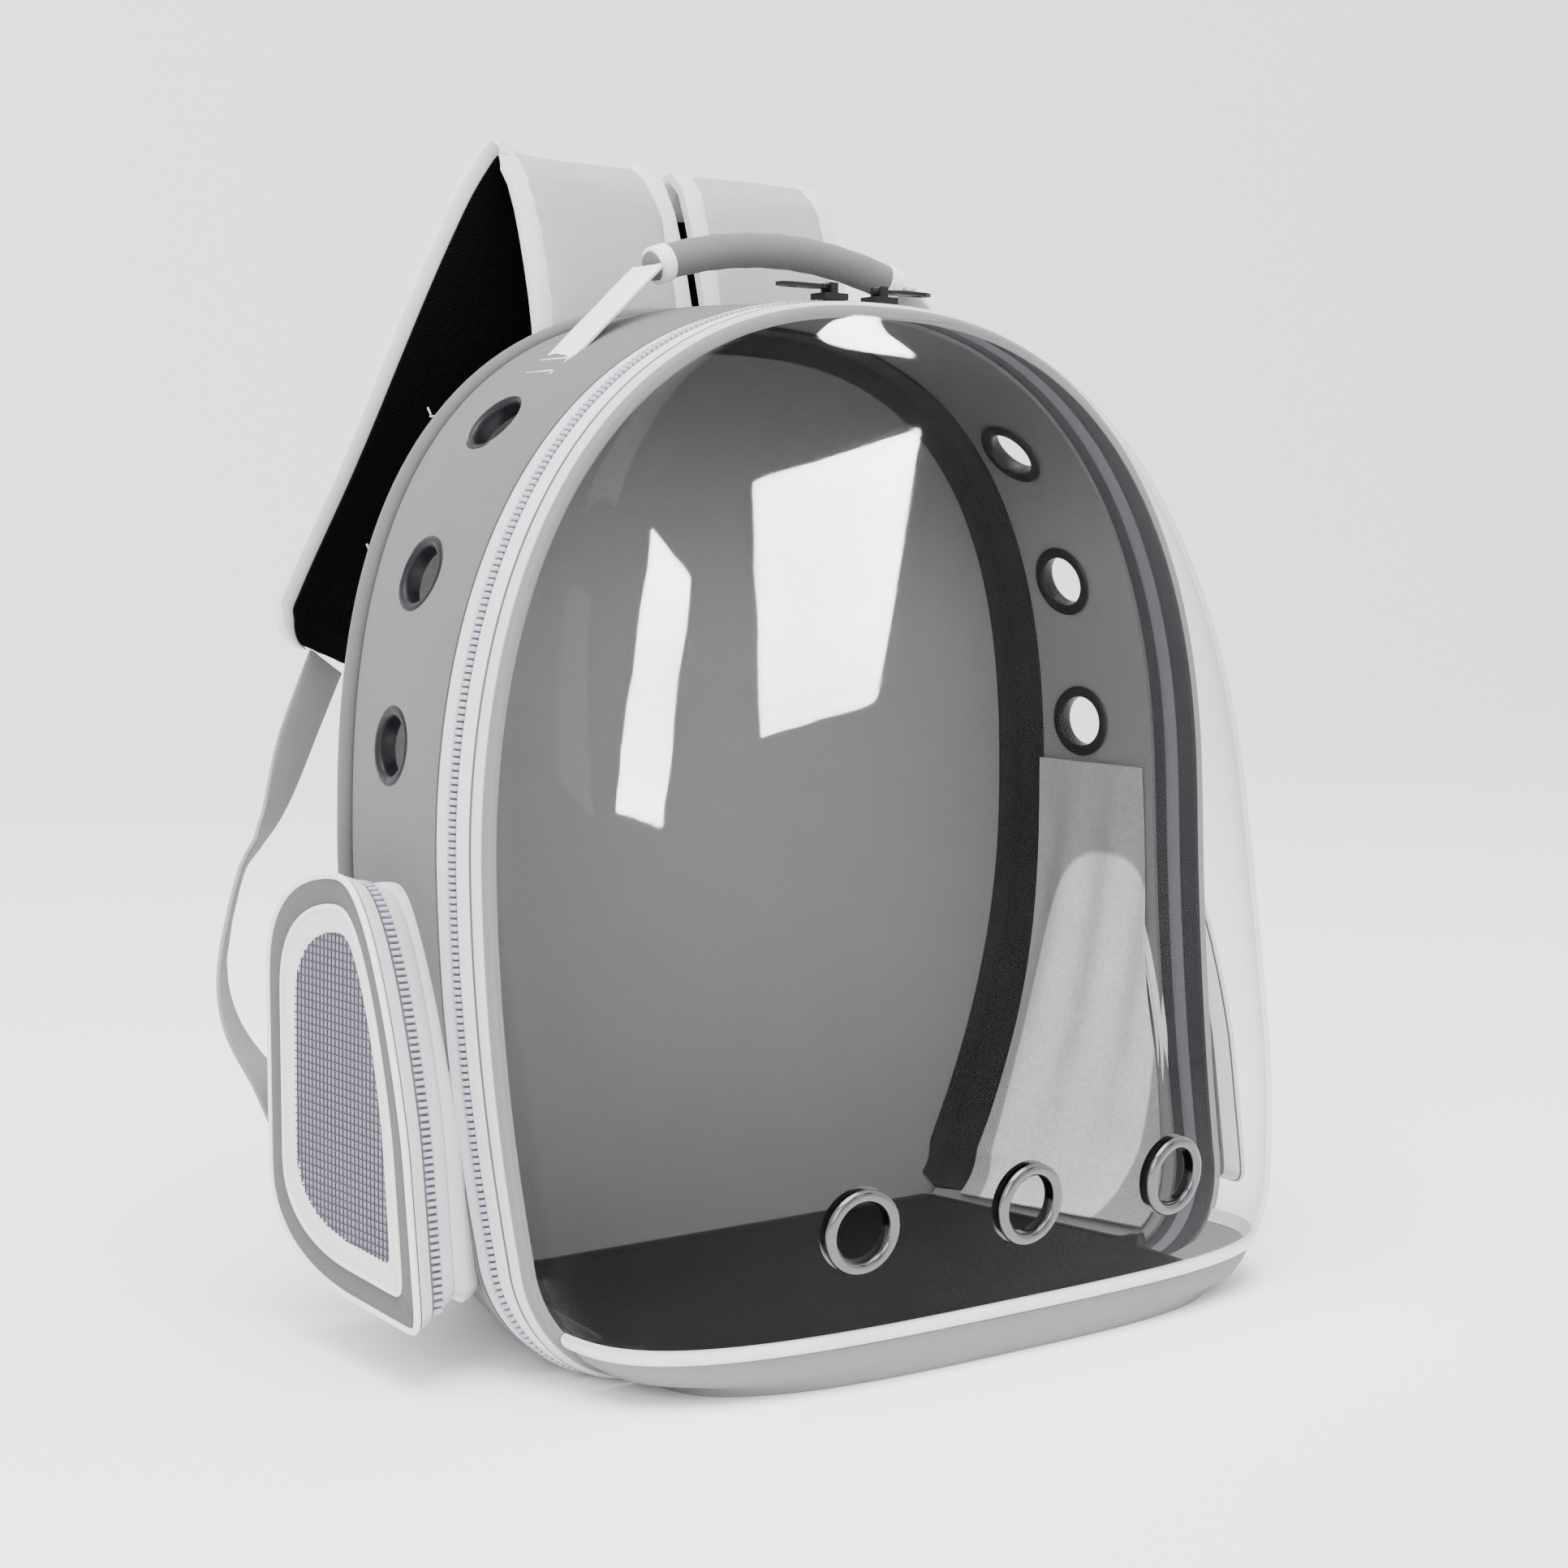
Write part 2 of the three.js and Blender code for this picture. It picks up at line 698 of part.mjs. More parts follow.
// Half height of the padded strap across its width, as shares
const strapCrown = [
  { across: -0.5, up: 0.17 },
  { across: -0.3, up: 0.43 },
  { across: 0, up: 0.5 },
  { across: 0.3, up: 0.43 },
  { across: 0.5, up: 0.17 },
];

function buildBody() {
  const places = Array.from({ length: lastStation + 1 }, (_, i) => i);
  const shell = shellGeometry(wallGrid(places, wallShares, 0), wallGrid(places, wallShares, sideThickness));
  const tools = [];
  sideEyeletRises.forEach((rise, i) => {
    const height = rise * frontShape.height;
    const place = placeAtHeight(height, sideEyeletShare);
    const centre = wallPoint(place, sideEyeletShare, sideThickness / 2);
    const normal = wallNormal(place, sideEyeletShare);
    const ring = eyeletGeometry(centre, normal, sideThickness);
    const cut = eyeletCut(centre, normal, sideThickness);
    tools.push(cut, mirrored(cut));
    addPart(`side_eyelet_left_${i + 1}`, ring, looks.plum);
    addPart(`side_eyelet_right_${i + 1}`, mirrored(ring), looks.plum);
  });
  for (const side of [-1, 1]) {
    const low = pocketRing(side, -pocketRoot, windowMargin);
    const high = pocketRing(side, pocketBand, windowMargin);
    tools.push(loftGeometry([low, high]));
  }
  addPart('side_wall', cutFrom(shell, tools), looks.wall);

  const backRing = (y) => backOutline.map((station) => vec(station.x, y, station.z));
  const backFace = sideDepth + gap;
  addPart('back_panel', loftGeometry([backRing(backFace), backRing(backFace + backThickness)]), looks.back);

  const foot = placeAtHeight(liningFoot, 1);
  const stripPlaces = [foot, ...places.filter((i) => i > foot && i < lastStation - foot), lastStation - foot];
  const stripGrid = (depth) => stripPlaces.map((place) => (
    [sideDepth - cornerStripWidth, sideDepth].map((y) => wallPoint(place, shareAtDepth(place, y), depth))
  ));
  const stripDepth = sideThickness + curvedGap;
  const strip = shellGeometry(stripGrid(stripDepth), stripGrid(stripDepth + cornerStripThickness));
  addPart('back_binding', strip, looks.dark);

  const linerFoot = placeAtHeight(liningFoot, 0);
  const linerHead = placeAtHeight(linerTop, 0);
  const linerPlaces = [linerFoot, ...places.filter((i) => i > linerFoot && i < linerHead), linerHead];
  const rear = sideDepth - cornerStripWidth - gap;
  const linerGrid = (depth) => linerPlaces.map((place) => (
    [linerMargin, rear].map((y) => wallPoint(place, shareAtDepth(place, y), depth))
  ));
  const liner = shellGeometry(linerGrid(stripDepth), linerGrid(stripDepth + linerThickness));
  addPart('window_liner_left', liner, looks.liner);
  addPart('window_liner_right', mirrored(liner), looks.liner);
}

function buildFloor() {
  const frontFoot = frontShape.width / 2 - frontShape.tuck - frontShape.corner;
  const backFoot = backShape.width / 2 - backShape.tuck - backShape.corner;
  const side = (spread) => [
    vec(-backFoot - spread, sideDepth - gap, 0),
    vec(-frontFoot - spread, -seamSweep, 0),
  ];
  const crescent = (inset) => frontRow(0, inset);
  const ring = (corners, inset, z) => {
    const left = corners;
    const right = [...corners].reverse().map((point) => vec(-point.x, point.y, 0));
    return [...left, ...crescent(inset), ...right].map((point) => vec(point.x, point.y, z));
  };
  const baseInset = stripWall + gap;
  const base = side(-gap);
  const panel = loftGeometry([0, baseThickness].map((z) => ring(base, baseInset, z)));
  addPart('base_panel', panel, looks.wall);

  const matInset = baseInset + matFrontMargin;
  const matCorners = (spread) => {
    const [rear, front] = side(spread);
    return [rear, front, vec(-frontFoot + matInset, -seamSweep - 2 * tapeWidth, 0)];
  };
  const matFloor = baseThickness + gap;
  const mat = loftGeometry([
    ring(matCorners(matSpreadLow), matInset, matFloor),
    ring(matCorners(matSpreadHigh), matInset, matFloor + matThickness),
  ]);
  addPart('floor_mat', mat, looks.mat);
}

function buildZip() {
  const teethStart = tapeWidth;
  const doorStart = tapeWidth + teethWidth;
  const bindingStart = doorStart + tapeWidth;
  addPart('zip_tape_body', doorBand([gap, teethStart], 0, tapeThickness), looks.tape);
  addPart('zip_teeth', doorBand([teethStart + gap, doorStart], -teethLift, teethThickness), looks.teeth);
  addPart('zip_tape_door', doorBand([doorStart + gap, bindingStart], 0, tapeThickness), looks.tape);
  const middle = (bindingStart + doorDepth) / 2;
  const binding = doorBand([bindingStart + gap, middle, doorDepth], 0, bindingThickness);
  addPart('door_binding', binding, looks.edge);
}

function buildFront() {
  const angledRows = (heights, inset) => heights.map((height) => frontRow(height, inset));
  const stripRows = [0, bindingTurn, (bindingTurn + stripHeight) / 2, stripHeight];
  const strip = shellGeometry(angledRows(stripRows, 0), angledRows(stripRows, stripWall));
  addPart('front_strip', strip, looks.back);

  const sillRows = [stripHeight + gap, stripHeight + sillHeight];
  const sill = shellGeometry(angledRows(sillRows, -sillLift), angledRows(sillRows, sillThickness - sillLift));
  addPart('door_sill', sill, looks.tape);

  const low = stripHeight + sillHeight + gap;
  const high = apexShare * doorTop;
  const rows = Array.from({ length: bubbleRows + 1 }, (_, i) => (
    frontRow(mix(low, high, Math.sin((Math.PI / 2) * (i / bubbleRows))), 0)
  ));
  const shell = shellGeometry(rows, thickened(rows, bubbleWall));
  const tools = [];
  const surface = new THREE.Mesh(shell);
  [-1, 0, 1].forEach((slot, i) => {
    const from = vec(slot * frontEyeletSpacing, -4 * bubbleReach, frontEyeletHeight);
    const hit = new THREE.Raycaster(from, vec(0, 1, 0)).intersectObject(surface)[0];
    const normal = hit.face.normal.clone();
    const centre = hit.point.clone().addScaledVector(normal, -bubbleWall / 2);
    tools.push(eyeletCut(centre, normal, bubbleWall));
    addPart(`bubble_eyelet_${i + 1}`, eyeletGeometry(centre, normal, bubbleWall), looks.chrome);
  });
  addPart('bubble', cutFrom(shell, tools), looks.clear);
}

function buildPocket(side, word) {
  const places = Array.from({ length: lastStation + 1 }, (_, i) => i);
  const envelopeRing = (share) => places.map((place) => wallPoint(place, share, -gap));
  const envelope = loftGeometry(wallShares.map(envelopeRing));
  const lifts = [];
  let lift = 0;
  for (const height of [pocketBand, pocketTape, pocketTeeth, pocketTape, pocketPlate]) {
    lifts.push([lift + gap, lift + height]);
    lift += height;
  }
  const [band, innerTape, teeth, outerTape, plate] = lifts;
  const root = pocketLayer(side, [-pocketRoot, 0, band[1]], 0, pocketWall);
  addPart(`pocket_${word}_band`, cutFrom(root, [envelope]), looks.tape);
  addPart(`pocket_${word}_zip_tape_inner`, pocketLayer(side, innerTape, 0, pocketWall), looks.tape);
  addPart(`pocket_${word}_zip_teeth`, pocketLayer(side, teeth, 0, pocketWall), looks.teeth);
  addPart(`pocket_${word}_zip_tape_outer`, pocketLayer(side, outerTape, 0, pocketWall), looks.tape);
  const frameInner = pocketFrameWidth;
  const borderInner = frameInner + pocketBorderWidth;
  addPart(`pocket_${word}_frame`, pocketLayer(side, plate, 0, frameInner), looks.wall);
  addPart(`pocket_${word}_border`, pocketLayer(side, plate, frameInner + gap, borderInner), looks.edge);
  const paneTop = (plate[0] + plate[1] + pocketPane) / 2;
  const pane = loftGeometry([
    pocketRing(side, paneTop - pocketPane, borderInner + gap),
    pocketRing(side, paneTop, borderInner + gap),
  ]);
  addPart(`pocket_${word}_net`, pane, looks.net);
}

function buildHandle() {
  const y = wallPoint(stationsPerSide, sideEyeletShare, 0).y;
  const gripRows = Array.from({ length: 9 }, (_, i) => {
    const share = i / 4 - 1;
    const at = vec(share * gripLength / 2, y, handleTop - gripSag * share ** 2);
    return { at, turn: Math.PI / 2, broad: 1 };
  });
  const round = circleRing(gripDiameter / 2, 0, gripSides).map((point) => [point.x, point.y]);
  addPart('handle_grip', sweepGeometry(framesAlong(gripRows, gripSteps), round), looks.grip);

  const lift = -(gap + webbingThickness / 2);
  const onWall = (rise) => {
    const place = placeAtHeight(rise * frontShape.height, sideEyeletShare);
    const point = wallPoint(place, shareAtDepth(place, y + handleWebbing / 2), lift);
    return vec(point.x, y, point.z);
  };
  const tail = onWall(handleTailRise);
  const anchor = onWall(handleAnchorRise);
  const slope = Math.atan2(2 * gripSag, gripLength / 2);
  const end = vec(-gripLength / 2, y, handleTop - gripSag);
  end.add(vec(-Math.cos(slope), 0, -Math.sin(slope)).multiplyScalar(gap + webbingThickness / 2));
  const middle = anchor.clone().lerp(end, 0.35);
  const rows = [tail, anchor, middle, end].map((at) => ({ at, turn: Math.PI / 2, broad: 1 }));
  const left = sweepGeometry(framesAlong(rows, 9), flatSection(handleWebbing, webbingThickness));
  addPart('handle_webbing_left', left, looks.webbing);
  addPart('handle_webbing_right', mirrored(left), looks.webbing);
}

function strapRows(splay) {
  const root = sideDepth + gap + backThickness + gap + strapThickness / 2;
  return strapPath.map((row) => ({
    at: vec(-strapSpacing / 2 - row.splay * splay, root + row.lean * strapLean, row.rise * strapPeak),
    turn: THREE.MathUtils.degToRad(row.turn * strapTurn),
    broad: row.broad,
  }));
}

function strapGeometries(splay, swing) {
  const rows = strapRows(splay);
  const frames = framesAlong(rows, strapSteps);
  const point = (row, sign, extra) => [row.across * strapWidth, sign * (row.up * strapThickness + extra)];
  const section = [
    ...strapCrown.map((row) => point(row, -1, 0)),
    ...[...strapCrown].reverse().map((row) => point(row, 1, 0)),
  ];
  const strap = sweepGeometry(frames, section);

  const edge = { across: liningShare / 2, up: liningCrown };
  const inner = [{ ...edge, across: -edge.across }, ...strapCrown.slice(1, -1), edge];
  const liningSection = [
    ...inner.map((row) => point(row, 1, liningLift)),
    ...[...inner].reverse().map((row) => point(row, 1, liningLift + liningThickness)),
  ];
  const start = Math.round((strapSteps * liningStart) / (rows.length - 1));
  const lining = sweepGeometry(frames.slice(start, -2), liningSection);

  const tip = frames.at(-1);
  const from = tip.at.clone().addScaledVector(tip.tangent, gap + webbingThickness / 4);
  const reach = from.x - swing;
  const homeX = -(backShape.width / 2 - backShape.tuck) * tailHome;
  const face = sideDepth + gap + backThickness + gap + webbingThickness / 2;
  const tailTurns = (row) => THREE.MathUtils.degToRad(row.turn * tailTurn);
  const tailRows = tailPath.map((row) => ({
    at: vec(
      mix(mix(from.x, reach, row.swing), homeX, row.home),
      mix(face, from.y, row.lean),
      row.rise * from.z,
    ),
    turn: tailTurns(row),
    broad: 1,
  }));
  const tailStart = [0, tailWidth / 3].map((along) => ({
    at: from.clone().addScaledVector(tip.tangent, along),
    turn: rows.at(-1).turn,
    broad: 1,
  }));
  const tail = sweepGeometry(
    framesAlong([...tailStart, ...tailRows], tailSteps),
    flatSection(tailWidth, webbingThickness),
  );
  return { strap, lining, tail };
}

function buildStraps() {
  const left = strapGeometries(strapSplayLeft, tailSwingLeft);
  addPart('strap_left', left.strap, looks.strap);
  addPart('strap_left_lining', left.lining, looks.lining);
  addPart('strap_left_webbing', left.tail, looks.webbing);
  const right = strapGeometries(strapSplayRight, tailSwingRight);
  addPart('strap_right', mirrored(right.strap), looks.strap);
  addPart('strap_right_lining', mirrored(right.lining), looks.lining);
  addPart('strap_right_webbing', mirrored(right.tail), looks.webbing);
}

function buildSliders() {
  const eyeRadius = pivotRadius + pivotClearance + eyeWall;
  const pivotLift = sliderThickness + eyeRadius + gap;
  const cheekOuter = cheekInner / 2 + cheekThickness;
  const lieFlat = (geometry) => geometry.rotateX(Math.PI / 2);
  const half = cheekLength / 2;
  const cheek = (low, high) => boxGeometry([-half, low, sliderThickness / 2], [half, high, pivotLift + half]);
  const body = joined([
    boxGeometry(
      [-sliderLength / 2, -sliderWidth / 2, 0],
      [sliderLength / 2, sliderWidth / 2, sliderThickness],
    ),
    cheek(-cheekOuter, -cheekInner / 2),
    cheek(cheekInner / 2, cheekOuter),
    lieFlat(loftGeometry([
      circleRing(pivotRadius, -cheekInner / 2 - cheekThickness / 2, eyeletSides),
      circleRing(pivotRadius, cheekInner / 2 + cheekThickness / 2, eyeletSides),
    ])).translate(0, 0, pivotLift),
  ]);

  const eyeWidth = cheekInner - 2 * gap;
  const tabRing = (z) => [
    vec(eyeRadius / 2, -eyeWidth / 2, z),
    vec(tabNeck, -eyeWidth / 2, z),
    vec(tabNeck + tabWidth / 4, -tabWidth / 2, z),
    vec(tabLength - tabWidth / 2, -tabWidth / 2, z),
    vec(tabLength, -tabWidth / 4, z),
    vec(tabLength, tabWidth / 4, z),
    vec(tabLength - tabWidth / 2, tabWidth / 2, z),
    vec(tabNeck + tabWidth / 4, tabWidth / 2, z),
    vec(tabNeck, eyeWidth / 2, z),
    vec(eyeRadius / 2, eyeWidth / 2, z),
  ];
  const barrel = lieFlat(loftGeometry([
    circleRing(eyeRadius, -eyeWidth / 2, eyeletSides),
    circleRing(eyeRadius, eyeWidth / 2, eyeletSides),
  ]));
  const bore = lieFlat(loftGeometry([
    circleRing(pivotRadius + pivotClearance, -cheekInner, eyeletSides),
    circleRing(pivotRadius + pivotClearance, cheekInner, eyeletSides),
  ]));
  const slotHalf = tabWidth / 5;
  const slot = boxGeometry(
    [tabLength - tabWidth - slotHalf, -slotHalf, -tabThickness],
    [tabLength - tabWidth / 2, slotHalf, tabThickness],
  );
  const plate = loftGeometry([tabRing(-tabThickness / 2), tabRing(tabThickness / 2)]);
  const tab = cutFrom(joined([plate, barrel]), [bore, slot]);

  const x = sliderSpacing / 2;
  const y = -(tapeWidth + teethWidth / 2);
  const z = frontShape.height + teethLift + gap;
  body.translate(x, y, z);
  tab.translate(x, y, z + pivotLift);
  addPart('zip_slider_left', mirrored(body), looks.plum);
  addPart('zip_slider_right', body, looks.plum);
  addPart('zip_pull_left', mirrored(tab), looks.plum);
  addPart('zip_pull_right', tab, looks.plum);
}

buildBody();
buildFloor();
buildZip();
buildFront();
buildPocket(-1, 'left');
buildPocket(1, 'right');
buildHandle();
buildStraps();
buildSliders();

export default group;
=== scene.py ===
# %% [markdown]
# # A bubble pet carrier backpack
# The bag is a soft arch-shaped shell with a clear bulging door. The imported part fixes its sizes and
# its moving bodies. Here every visible piece is dressed: the grey cloth walls, the two rows of zip,
# the clear bulge, the eyelets, the side pockets, the handle and the straps. All lengths are in
# metres, and -Y is the front.

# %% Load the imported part
import math
import bpy
import bmesh
import numpy as np
from mathutils import Matrix, Vector
from mathutils.bvhtree import BVHTree


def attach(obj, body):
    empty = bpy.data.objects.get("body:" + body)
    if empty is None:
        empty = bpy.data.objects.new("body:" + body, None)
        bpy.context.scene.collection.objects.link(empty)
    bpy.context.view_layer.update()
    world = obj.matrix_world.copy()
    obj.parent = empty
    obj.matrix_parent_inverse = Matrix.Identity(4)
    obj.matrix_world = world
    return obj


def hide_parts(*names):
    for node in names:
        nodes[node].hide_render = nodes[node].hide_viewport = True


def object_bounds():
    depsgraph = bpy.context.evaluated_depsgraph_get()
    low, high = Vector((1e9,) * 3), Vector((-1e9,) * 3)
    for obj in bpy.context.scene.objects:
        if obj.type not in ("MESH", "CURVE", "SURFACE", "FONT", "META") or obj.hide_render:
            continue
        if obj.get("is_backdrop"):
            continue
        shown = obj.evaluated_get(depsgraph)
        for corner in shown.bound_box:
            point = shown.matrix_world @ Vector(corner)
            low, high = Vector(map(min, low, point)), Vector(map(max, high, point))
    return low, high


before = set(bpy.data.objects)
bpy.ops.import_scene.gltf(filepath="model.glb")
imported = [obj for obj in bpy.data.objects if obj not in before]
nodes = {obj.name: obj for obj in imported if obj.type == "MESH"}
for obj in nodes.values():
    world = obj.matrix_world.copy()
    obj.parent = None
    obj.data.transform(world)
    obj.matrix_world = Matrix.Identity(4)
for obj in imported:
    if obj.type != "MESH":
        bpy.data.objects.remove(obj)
cad_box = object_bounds()

# %% [markdown]
# ## The camera and the light
# The camera comes first, because every other choice is judged through it. Its place was worked out
# from the photograph: a long lens, low and to the left of the front. A studio packshot has light
# from all sides, so a bright world does most of the work and large panels add the soft shape. Two
# bright panels, seen mirrored in the clear bulge, make its two window-like highlights.

# %% Camera
camera = bpy.data.objects.new("camera", bpy.data.cameras.new("camera"))
bpy.context.scene.collection.objects.link(camera)
camera.location = (-0.6462, -0.8122, 0.2768)
aim = Vector((0, 0.05, 0.21)) - camera.location
camera.rotation_mode = "QUATERNION"
roll = Matrix.Rotation(math.radians(0.35), 3, "Z").to_quaternion()
camera.rotation_quaternion = aim.to_track_quat("-Z", "Y") @ roll
camera.data.sensor_width = 36
camera.data.lens = 62.44
camera.data.shift_x = 0.0189
camera.data.shift_y = -0.0278
camera.data.clip_start = 0.01
bpy.context.scene.camera = camera
print("camera looks along", tuple(round(v, 2) for v in aim.normalized()))

# %% Node helper
def wire(tree, node, **inputs):
    """Fills a node's inputs, each with a value or with another node's output socket.

    An input is named with underscores for spaces, or by its number as i0, i1 and so on.
    """
    for key, value in inputs.items():
        numbered = key[0] == "i" and key[1:].isdigit()
        socket = node.inputs[int(key[1:]) if numbered else key.replace("_", " ")]
        if isinstance(value, bpy.types.NodeSocket):
            tree.links.new(value, socket)
        else:
            socket.default_value = value
    return node


def add(tree, kind, settings=None, **inputs):
    """One node, with its settings and its inputs."""
    node = tree.nodes.new(kind)
    for key, value in (settings or {}).items():
        setattr(node, key, value)
    return wire(tree, node, **inputs)


def calc(tree, operation, *values, **settings):
    """The result of a Math node."""
    numbered = {"i%d" % k: value for k, value in enumerate(values)}
    return add(tree, "ShaderNodeMath", {"operation": operation, **settings}, **numbered).outputs[0]


def mix(tree, share, low, high, blend_type="MIX"):
    """The result of a colour Mix node."""
    settings = {"data_type": "RGBA", "blend_type": blend_type}
    return add(tree, "ShaderNodeMix", settings, i0=share, i6=low, i7=high).outputs[2]


def span(tree, value, start, end, to_start, to_end, **settings):
    """The result of a Map Range node."""
    ends = dict(i1=start, i2=end, i3=to_start, i4=to_end)
    return add(tree, "ShaderNodeMapRange", settings, i0=value, **ends).outputs[0]


def new_material(name):
    """A material, its node tree and its Principled shader."""
    material = bpy.data.materials.new(name)
    material.use_nodes = True
    return material, material.node_tree, material.node_tree.nodes["Principled BSDF"]


def tones(colour, spread):
    """A colour made darker and made lighter by a share of itself."""
    return [(*(min(1, c * (1 + way * spread)) for c in colour), 1) for way in (-1, 1)]


# %% World, lamps and floor
world = bpy.data.worlds.new("studio")
world.use_nodes = True
world.node_tree.nodes["Background"].inputs["Color"].default_value = (1, 1, 1, 1)
world.node_tree.nodes["Background"].inputs["Strength"].default_value = 2.1
bpy.context.scene.world = world


def panel_lamp(name, place, target, size, power):
    """A rectangular lamp of the given size, aimed at a target."""
    data = bpy.data.lights.new(name, "AREA")
    data.shape = "RECTANGLE"
    data.size, data.size_y = size
    data.energy = power
    lamp = bpy.data.objects.new(name, data)
    lamp.location = place
    lamp.rotation_euler = (Vector(target) - Vector(place)).to_track_quat("-Z", "Y").to_euler()
    bpy.context.scene.collection.objects.link(lamp)


panel_lamp("top_panel", (-0.5, -0.3, 2.4), (0, 0, 0.2), (1.8, 1.8), 95)
panel_lamp("side_panel", (-2.2, -1.4, 1.4), (0, 0, 0.2), (1.4, 1.4), 34)
BEND_START, BEND_RADIUS = 2.6, 1.4
bend = [(BEND_START + BEND_RADIUS * math.sin(a), BEND_RADIUS - BEND_RADIUS * math.cos(a))
        for a in np.linspace(0.1, 1.57, 14)]
sweep_line = [(-6, 0), (BEND_START, 0)] + bend + [(4.0, 7)]
floor_mesh = bpy.data.meshes.new("floor")
floor_mesh.from_pydata([(x, y, z) for y, z in sweep_line for x in (-8, 8)], [],
                       [(2 * i, 2 * i + 1, 2 * i + 3, 2 * i + 2)
                        for i in range(len(sweep_line) - 1)])
floor_mesh.polygons.foreach_set("use_smooth", [True] * len(floor_mesh.polygons))
floor = bpy.data.objects.new("floor", floor_mesh)
bpy.context.scene.collection.objects.link(floor)
floor_paint, tree, shader = new_material("floor_paper")
wire(tree, shader, Base_Color=(0.97, 0.97, 0.97, 1), Roughness=0.9)
floor_mesh.materials.append(floor_paint)
floor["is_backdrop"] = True
print("studio ready")

# %% [markdown]
# ## Materials
# Nearly everything is cloth, so one recipe makes them all: a fine over-under weave raised with
# Bump, a slow mottling of the colour, and a little sheen. Painted flat colour would look like
# plastic; an image texture would blur up close. The weave runs on each piece's own UV map, which is
# measured in metres, so its threads keep the same size on every piece and follow its curves.

# %% Cloth recipe
def cloth(name, colour, pitch=0.0011, relief=0.00012, mottle=0.05, rough=0.9, sheen=0.12,
          specular=0.3, alpha=1.0, coordinates="UV", top_shade=None):
    """Woven cloth: threads pitch metres apart, raised by relief, with a slow mottling.

    The last argument is painted shade towards the top, where the light doesn't reach: (height where
    the cloth starts to darken, height where it ends, share that is left).
    """
    material, tree, shader = new_material(name)
    wire(tree, shader, Roughness=rough, Sheen_Weight=sheen, Sheen_Roughness=0.5,
         Specular_IOR_Level=specular, Alpha=alpha)
    where = add(tree, "ShaderNodeTexCoord").outputs[coordinates]
    turn = 2 * math.pi / pitch
    axes = add(tree, "ShaderNodeSeparateXYZ", Vector=where)
    threads = [calc(tree, "SINE", calc(tree, "MULTIPLY", axes.outputs[axis], turn))
               for axis in (("X", "Y") if coordinates == "UV" else ("X", "Z"))]
    weave = calc(tree, "MULTIPLY", *threads)
    patches = add(tree, "ShaderNodeTexNoise", Vector=where, Scale=38.0, Detail=5.0, Roughness=0.6)
    tone = mix(tree, patches.outputs["Fac"], *tones(colour, mottle))
    result = mix(tree, 1.0, tone, span(tree, weave, -1.0, 1.0, 1 - mottle, 1.0), "MULTIPLY")
    # Painted shade: the colour darkens towards the top, where the light doesn't reach.
    if top_shade:
        place = add(tree, "ShaderNodeTexCoord").outputs["Object"]
        height = add(tree, "ShaderNodeSeparateXYZ", Vector=place).outputs["Z"]
        shade_share = span(tree, height, top_shade[0], top_shade[1], 1.0, top_shade[2], interpolation_type="SMOOTHSTEP")
        result = mix(tree, 1.0, result, shade_share, "MULTIPLY")
    bump = add(tree, "ShaderNodeBump", Strength=0.6, Distance=relief, Height=weave)
    wire(tree, shader, Base_Color=result, Normal=bump.outputs[0])
    return material


grey_cloth = cloth("grey_oxford_cloth", (0.12, 0.12, 0.123))
frame_cloth = cloth("pocket_frame_cloth", (0.085, 0.085, 0.088))
# Painted shade: the inner wall and the back darken towards the top, where the light doesn't reach.
inner_cloth = cloth("inner_grey_cloth", (0.138, 0.138, 0.14), mottle=0.04, top_shade=(0.27, 0.36, 0.25))
back_cloth = cloth("back_padding_cloth", (0.14, 0.14, 0.141), pitch=0.0014, relief=0.0001,
                   top_shade=(0.24, 0.37, 0.45))
strip_cloth = cloth("front_strip_cloth", (0.20, 0.20, 0.203))
dark_cloth = cloth("dark_corner_tape", (0.008, 0.008, 0.009), mottle=0.15, sheen=0.03)
mat_cloth = cloth("floor_mat_felt", (0.006, 0.006, 0.0063), pitch=0.0016, relief=0.0002, mottle=0.2,
                  sheen=0.0, specular=0.15)
white_tape = cloth("white_zip_tape", (0.64, 0.64, 0.66), pitch=0.0012, relief=0.0001, mottle=0.03)
# The plum and lavender tapes are painted shade: the white zip tape's inner side, darkened where the
# light doesn't reach.
plum_shade_tape = cloth("plum_shaded_tape", (0.022, 0.021, 0.027), pitch=0.0012, mottle=0.12)
lavender_shade_tape = cloth("lavender_shaded_tape", (0.14, 0.136, 0.155), pitch=0.0012, mottle=0.08)
white_webbing = cloth("white_webbing", (0.84, 0.84, 0.84), pitch=0.0018, relief=0.0002, mottle=0.06)
grey_webbing = cloth("grey_webbing", (0.30, 0.30, 0.30), pitch=0.0018, relief=0.0002, mottle=0.08)
grip_cloth = cloth("grip_sleeve_cloth", (0.13, 0.13, 0.132), pitch=0.0012)
lining_cloth = cloth("black_air_mesh", (0.0015, 0.0015, 0.0015), pitch=0.0022, relief=0.0003,
                     mottle=0.3, sheen=0.0, specular=0.05)
pale_border = cloth("pale_pocket_border", (0.68, 0.68, 0.69), pitch=0.0012)
print(len(bpy.data.materials), "materials so far")


# %% Smooth finishes
def moulded(name, colour, rough, metal=0.0, grain=0.08, scale=260.0, relief=0.00005,
            specular=0.5, alpha=1.0):
    """Plastic or metal whose roughness and colour wander a little."""
    material, tree, shader = new_material(name)
    where = add(tree, "ShaderNodeTexCoord").outputs["Object"]
    noise = add(tree, "ShaderNodeTexNoise", Vector=where, Scale=scale, Detail=3.0).outputs["Fac"]
    bump = add(tree, "ShaderNodeBump", Strength=0.3, Distance=relief, Height=noise)
    wire(tree, shader, Metallic=metal, Specular_IOR_Level=specular, Alpha=alpha,
         Base_Color=mix(tree, noise, *tones(colour, grain)),
         Roughness=span(tree, noise, 0.3, 0.7, rough * 0.8, rough * 1.25),
         Normal=bump.outputs[0])
    return material


